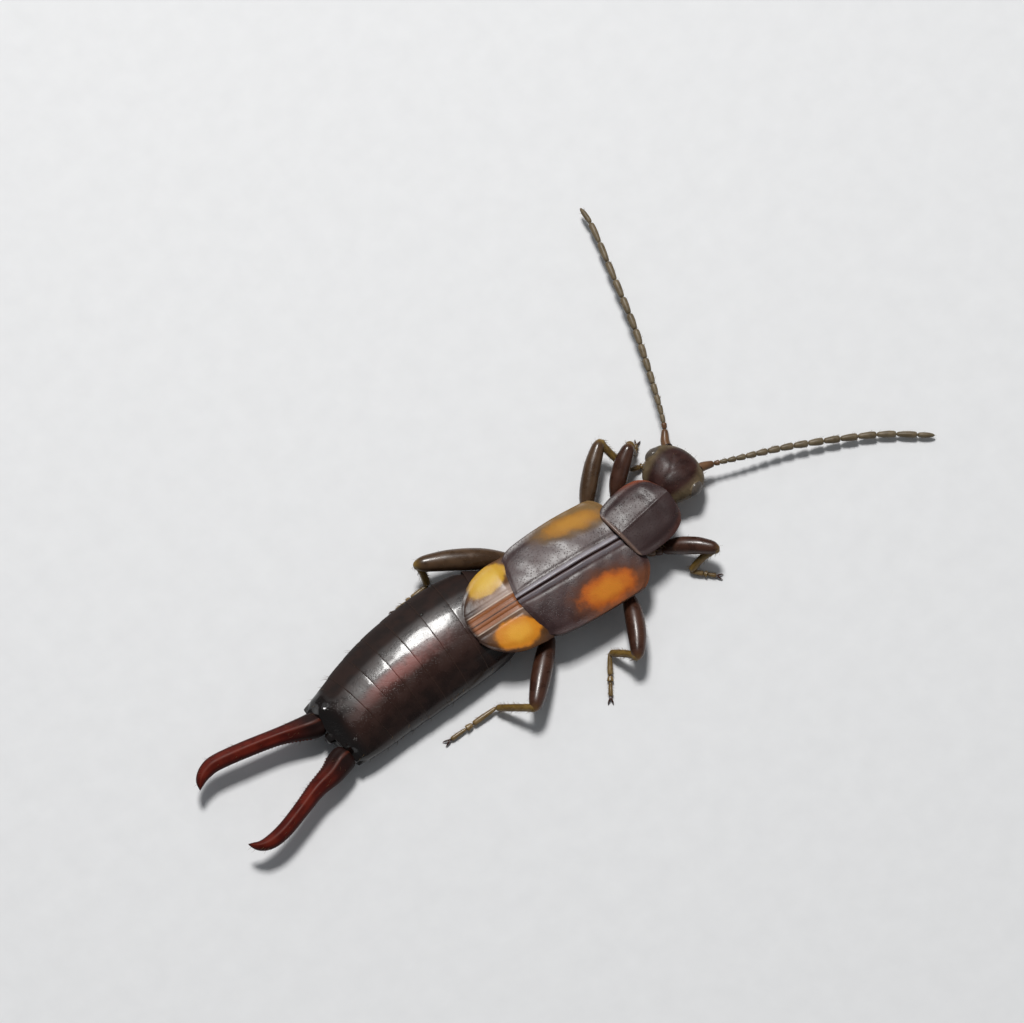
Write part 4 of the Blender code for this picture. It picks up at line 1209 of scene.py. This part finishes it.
def make_leg(name, number, paint):
    """One leg: thigh, shin, three foot joints and two claws, with their bristles."""
    _, hip, knee, ankle, toe = (Vector(point) for point in LEGS[name])
    node = f"leg_{name}"
    aside = UP.cross((knee - hip).normalized()).normalized()
    aside *= 1 if (ankle - knee).dot(aside) < 0 else -1
    stout, arch = THIGHS.get(name, (1.0, THIGH_BOW))

    rows = []
    for share, half, tall in THIGH_SHAPE:
        bow = aside * arch * math.sin(math.pi * min(share, 1.0)) + UP * 0.05 * math.sin(math.pi * share)
        rows.append((*(hip.lerp(knee, share) + bow), half * stout, tall * min(stout, 1.1)))
    thigh = limb(f"thigh_{name}", rows, 36, 40, 0.10, 2.1)
    ready(thigh, paint["thigh_olive" if name in PALE_THIGHS else "thigh"], "leg", node)

    outer = (knee - ankle).cross(UP).cross(knee - ankle).normalized()
    if outer.z < 0:
        outer = -outer
    rows = []
    for share, half in SHIN_SHAPE:
        bow = (outer * 0.6 + aside) * SHIN_BOW * math.sin(math.pi * max(0.0, min(share, 1.0)))
        rows.append((*(knee.lerp(ankle, share) + bow), half, half))
    shin = limb(f"shin_{name}", rows, 26, 30, 0.08)
    ready(shin, paint["shin"], "leg", node)

    joints = []
    for start, end, wide in FOOT_JOINTS:
        rows = between(ankle.lerp(toe, start), ankle.lerp(toe, end), (0, 0.07, 0.07),
                       (0.3, wide * 0.85, 0.085), (0.85, wide, 0.105), (1, wide * 0.7, 0.075))
        joints.append(limb("foot_joint", rows, 20, 18, 0.08))
    foot = joined(f"foot_{name}", joints)
    ready(foot, paint["foot"], "leg", node)

    way = (toe - ankle).normalized()
    straight = Vector((way.x, way.y, 0)).normalized()
    claws = []
    for turn in (CLAW_TURN, -CLAW_TURN):
        angle = math.atan2(way.y, way.x) + turn
        reach = Vector((math.cos(angle), math.sin(angle), 0.0))
        rows = [(*(toe - way * 0.08), 0.050, 0.050)]
        for far, ahead, rise, wide, tall in CLAW_SHAPE:
            rows.append((*(toe + reach * far + straight * ahead + UP * rise), wide, tall))
        claws.append(limb("claw", rows, 14, 18, 0.05))
    ready(joined(f"claws_{name}", claws), paint["thigh"], "leg")

    for part, host, count, long, seed, lean, keep, thick in (
        ("shin", shin, 150, 0.20, 50, ankle - knee, None, 0.007),
        ("foot", foot, 130, 0.12, 60, way, lambda place, normal: place.z > 0.04 or normal.z > -0.3, 0.006),
        ("thigh", thigh, 46, 0.15, 70, knee - hip, None, 0.006),
    ):
        bristles(paint, "leg", f"{part}_bristles_{name}", host, count, long, seed + number, lean.normalized(),
                 keep, thick)


def keep_above_floor():
    """Lifts any corner that would reach below the floor."""
    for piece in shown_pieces():
        if piece.get("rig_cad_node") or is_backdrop(piece):
            continue
        for corner in piece.data.vertices:
            corner.co.z = max(corner.co.z, 0.0)


def make_stage():
    """The pale floor, the sky and the lights."""
    deselect()
    bpy.ops.mesh.primitive_plane_add(size=2.0, location=(0, 0, 0))
    floor = bpy.context.object
    floor.name = "floor"
    pale = Finish("pale floor")
    pale.height = add_node(pale.tree, "ShaderNodeTexNoise", Scale=900.0, Vector=pale.place).outputs[0]
    pale.colour = pale.blend(pale.height, (0.71, 0.72, 0.735), (0.77, 0.78, 0.795))
    floor.data.materials.append(pale.done(0.5, 0.01))
    floor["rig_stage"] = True

    world = bpy.context.scene.world or bpy.data.worlds.new("Studio")
    bpy.context.scene.world = world
    world.use_nodes = True
    sky = world.node_tree.nodes["Background"]
    sky.inputs["Color"].default_value = SKY_COLOUR
    sky.inputs["Strength"].default_value = SKY_STRENGTH

    for name, way, far, size, power, tint in LIGHTS:
        place = Vector(way).normalized() * far
        bpy.ops.object.light_add(type="AREA", location=place)
        lamp = bpy.context.object
        lamp.name = name
        lamp.rotation_euler = place.to_track_quat("Z", "Y").to_euler()
        lamp.data.size = size
        lamp.data.energy = power
        lamp.data.color = tint


def make_camera():
    """The camera, which sees the whole length of the animal."""
    side = Vector((math.sin(LOOK_TURN), -math.cos(LOOK_TURN), 0))
    back = side * math.cos(LOOK_RISE) + UP * math.sin(LOOK_RISE)
    bpy.ops.object.camera_add(location=(Vector(AIM) + back * CAMERA_FAR) * MM,
                              rotation=back.to_track_quat("Z", "Y").to_euler())
    camera = bpy.context.object
    camera.data.sensor_width = SENSOR_WIDE
    camera.data.lens = SENSOR_WIDE * CAMERA_FAR / PICTURE_WIDE
    camera.data.clip_start = 0.01
    bpy.context.scene.camera = camera
    bpy.context.scene.view_settings.view_transform = "Standard"


def main():
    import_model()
    make_camera()
    make_stage()
    grain = grain_group()
    paint = {**shell_finishes(grain), **wing_finishes(grain, spot_group()), **limb_finishes(grain)}
    make_abdomen(paint)
    for word, side in SIDES.items():
        make_blade(word, side, paint)
    make_pronotum(paint)
    for word, side in SIDES.items():
        make_fore_wing(word, side, paint)
        make_wing_tip(word, side, paint)
    make_head(paint)
    make_mouthparts(paint)
    for word, side in SIDES.items():
        make_feeler(word, side, paint)
    make_trunk(paint)
    for number, name in enumerate(LEGS):
        make_leg(name, number, paint)
    keep_above_floor()
    deselect()


main()
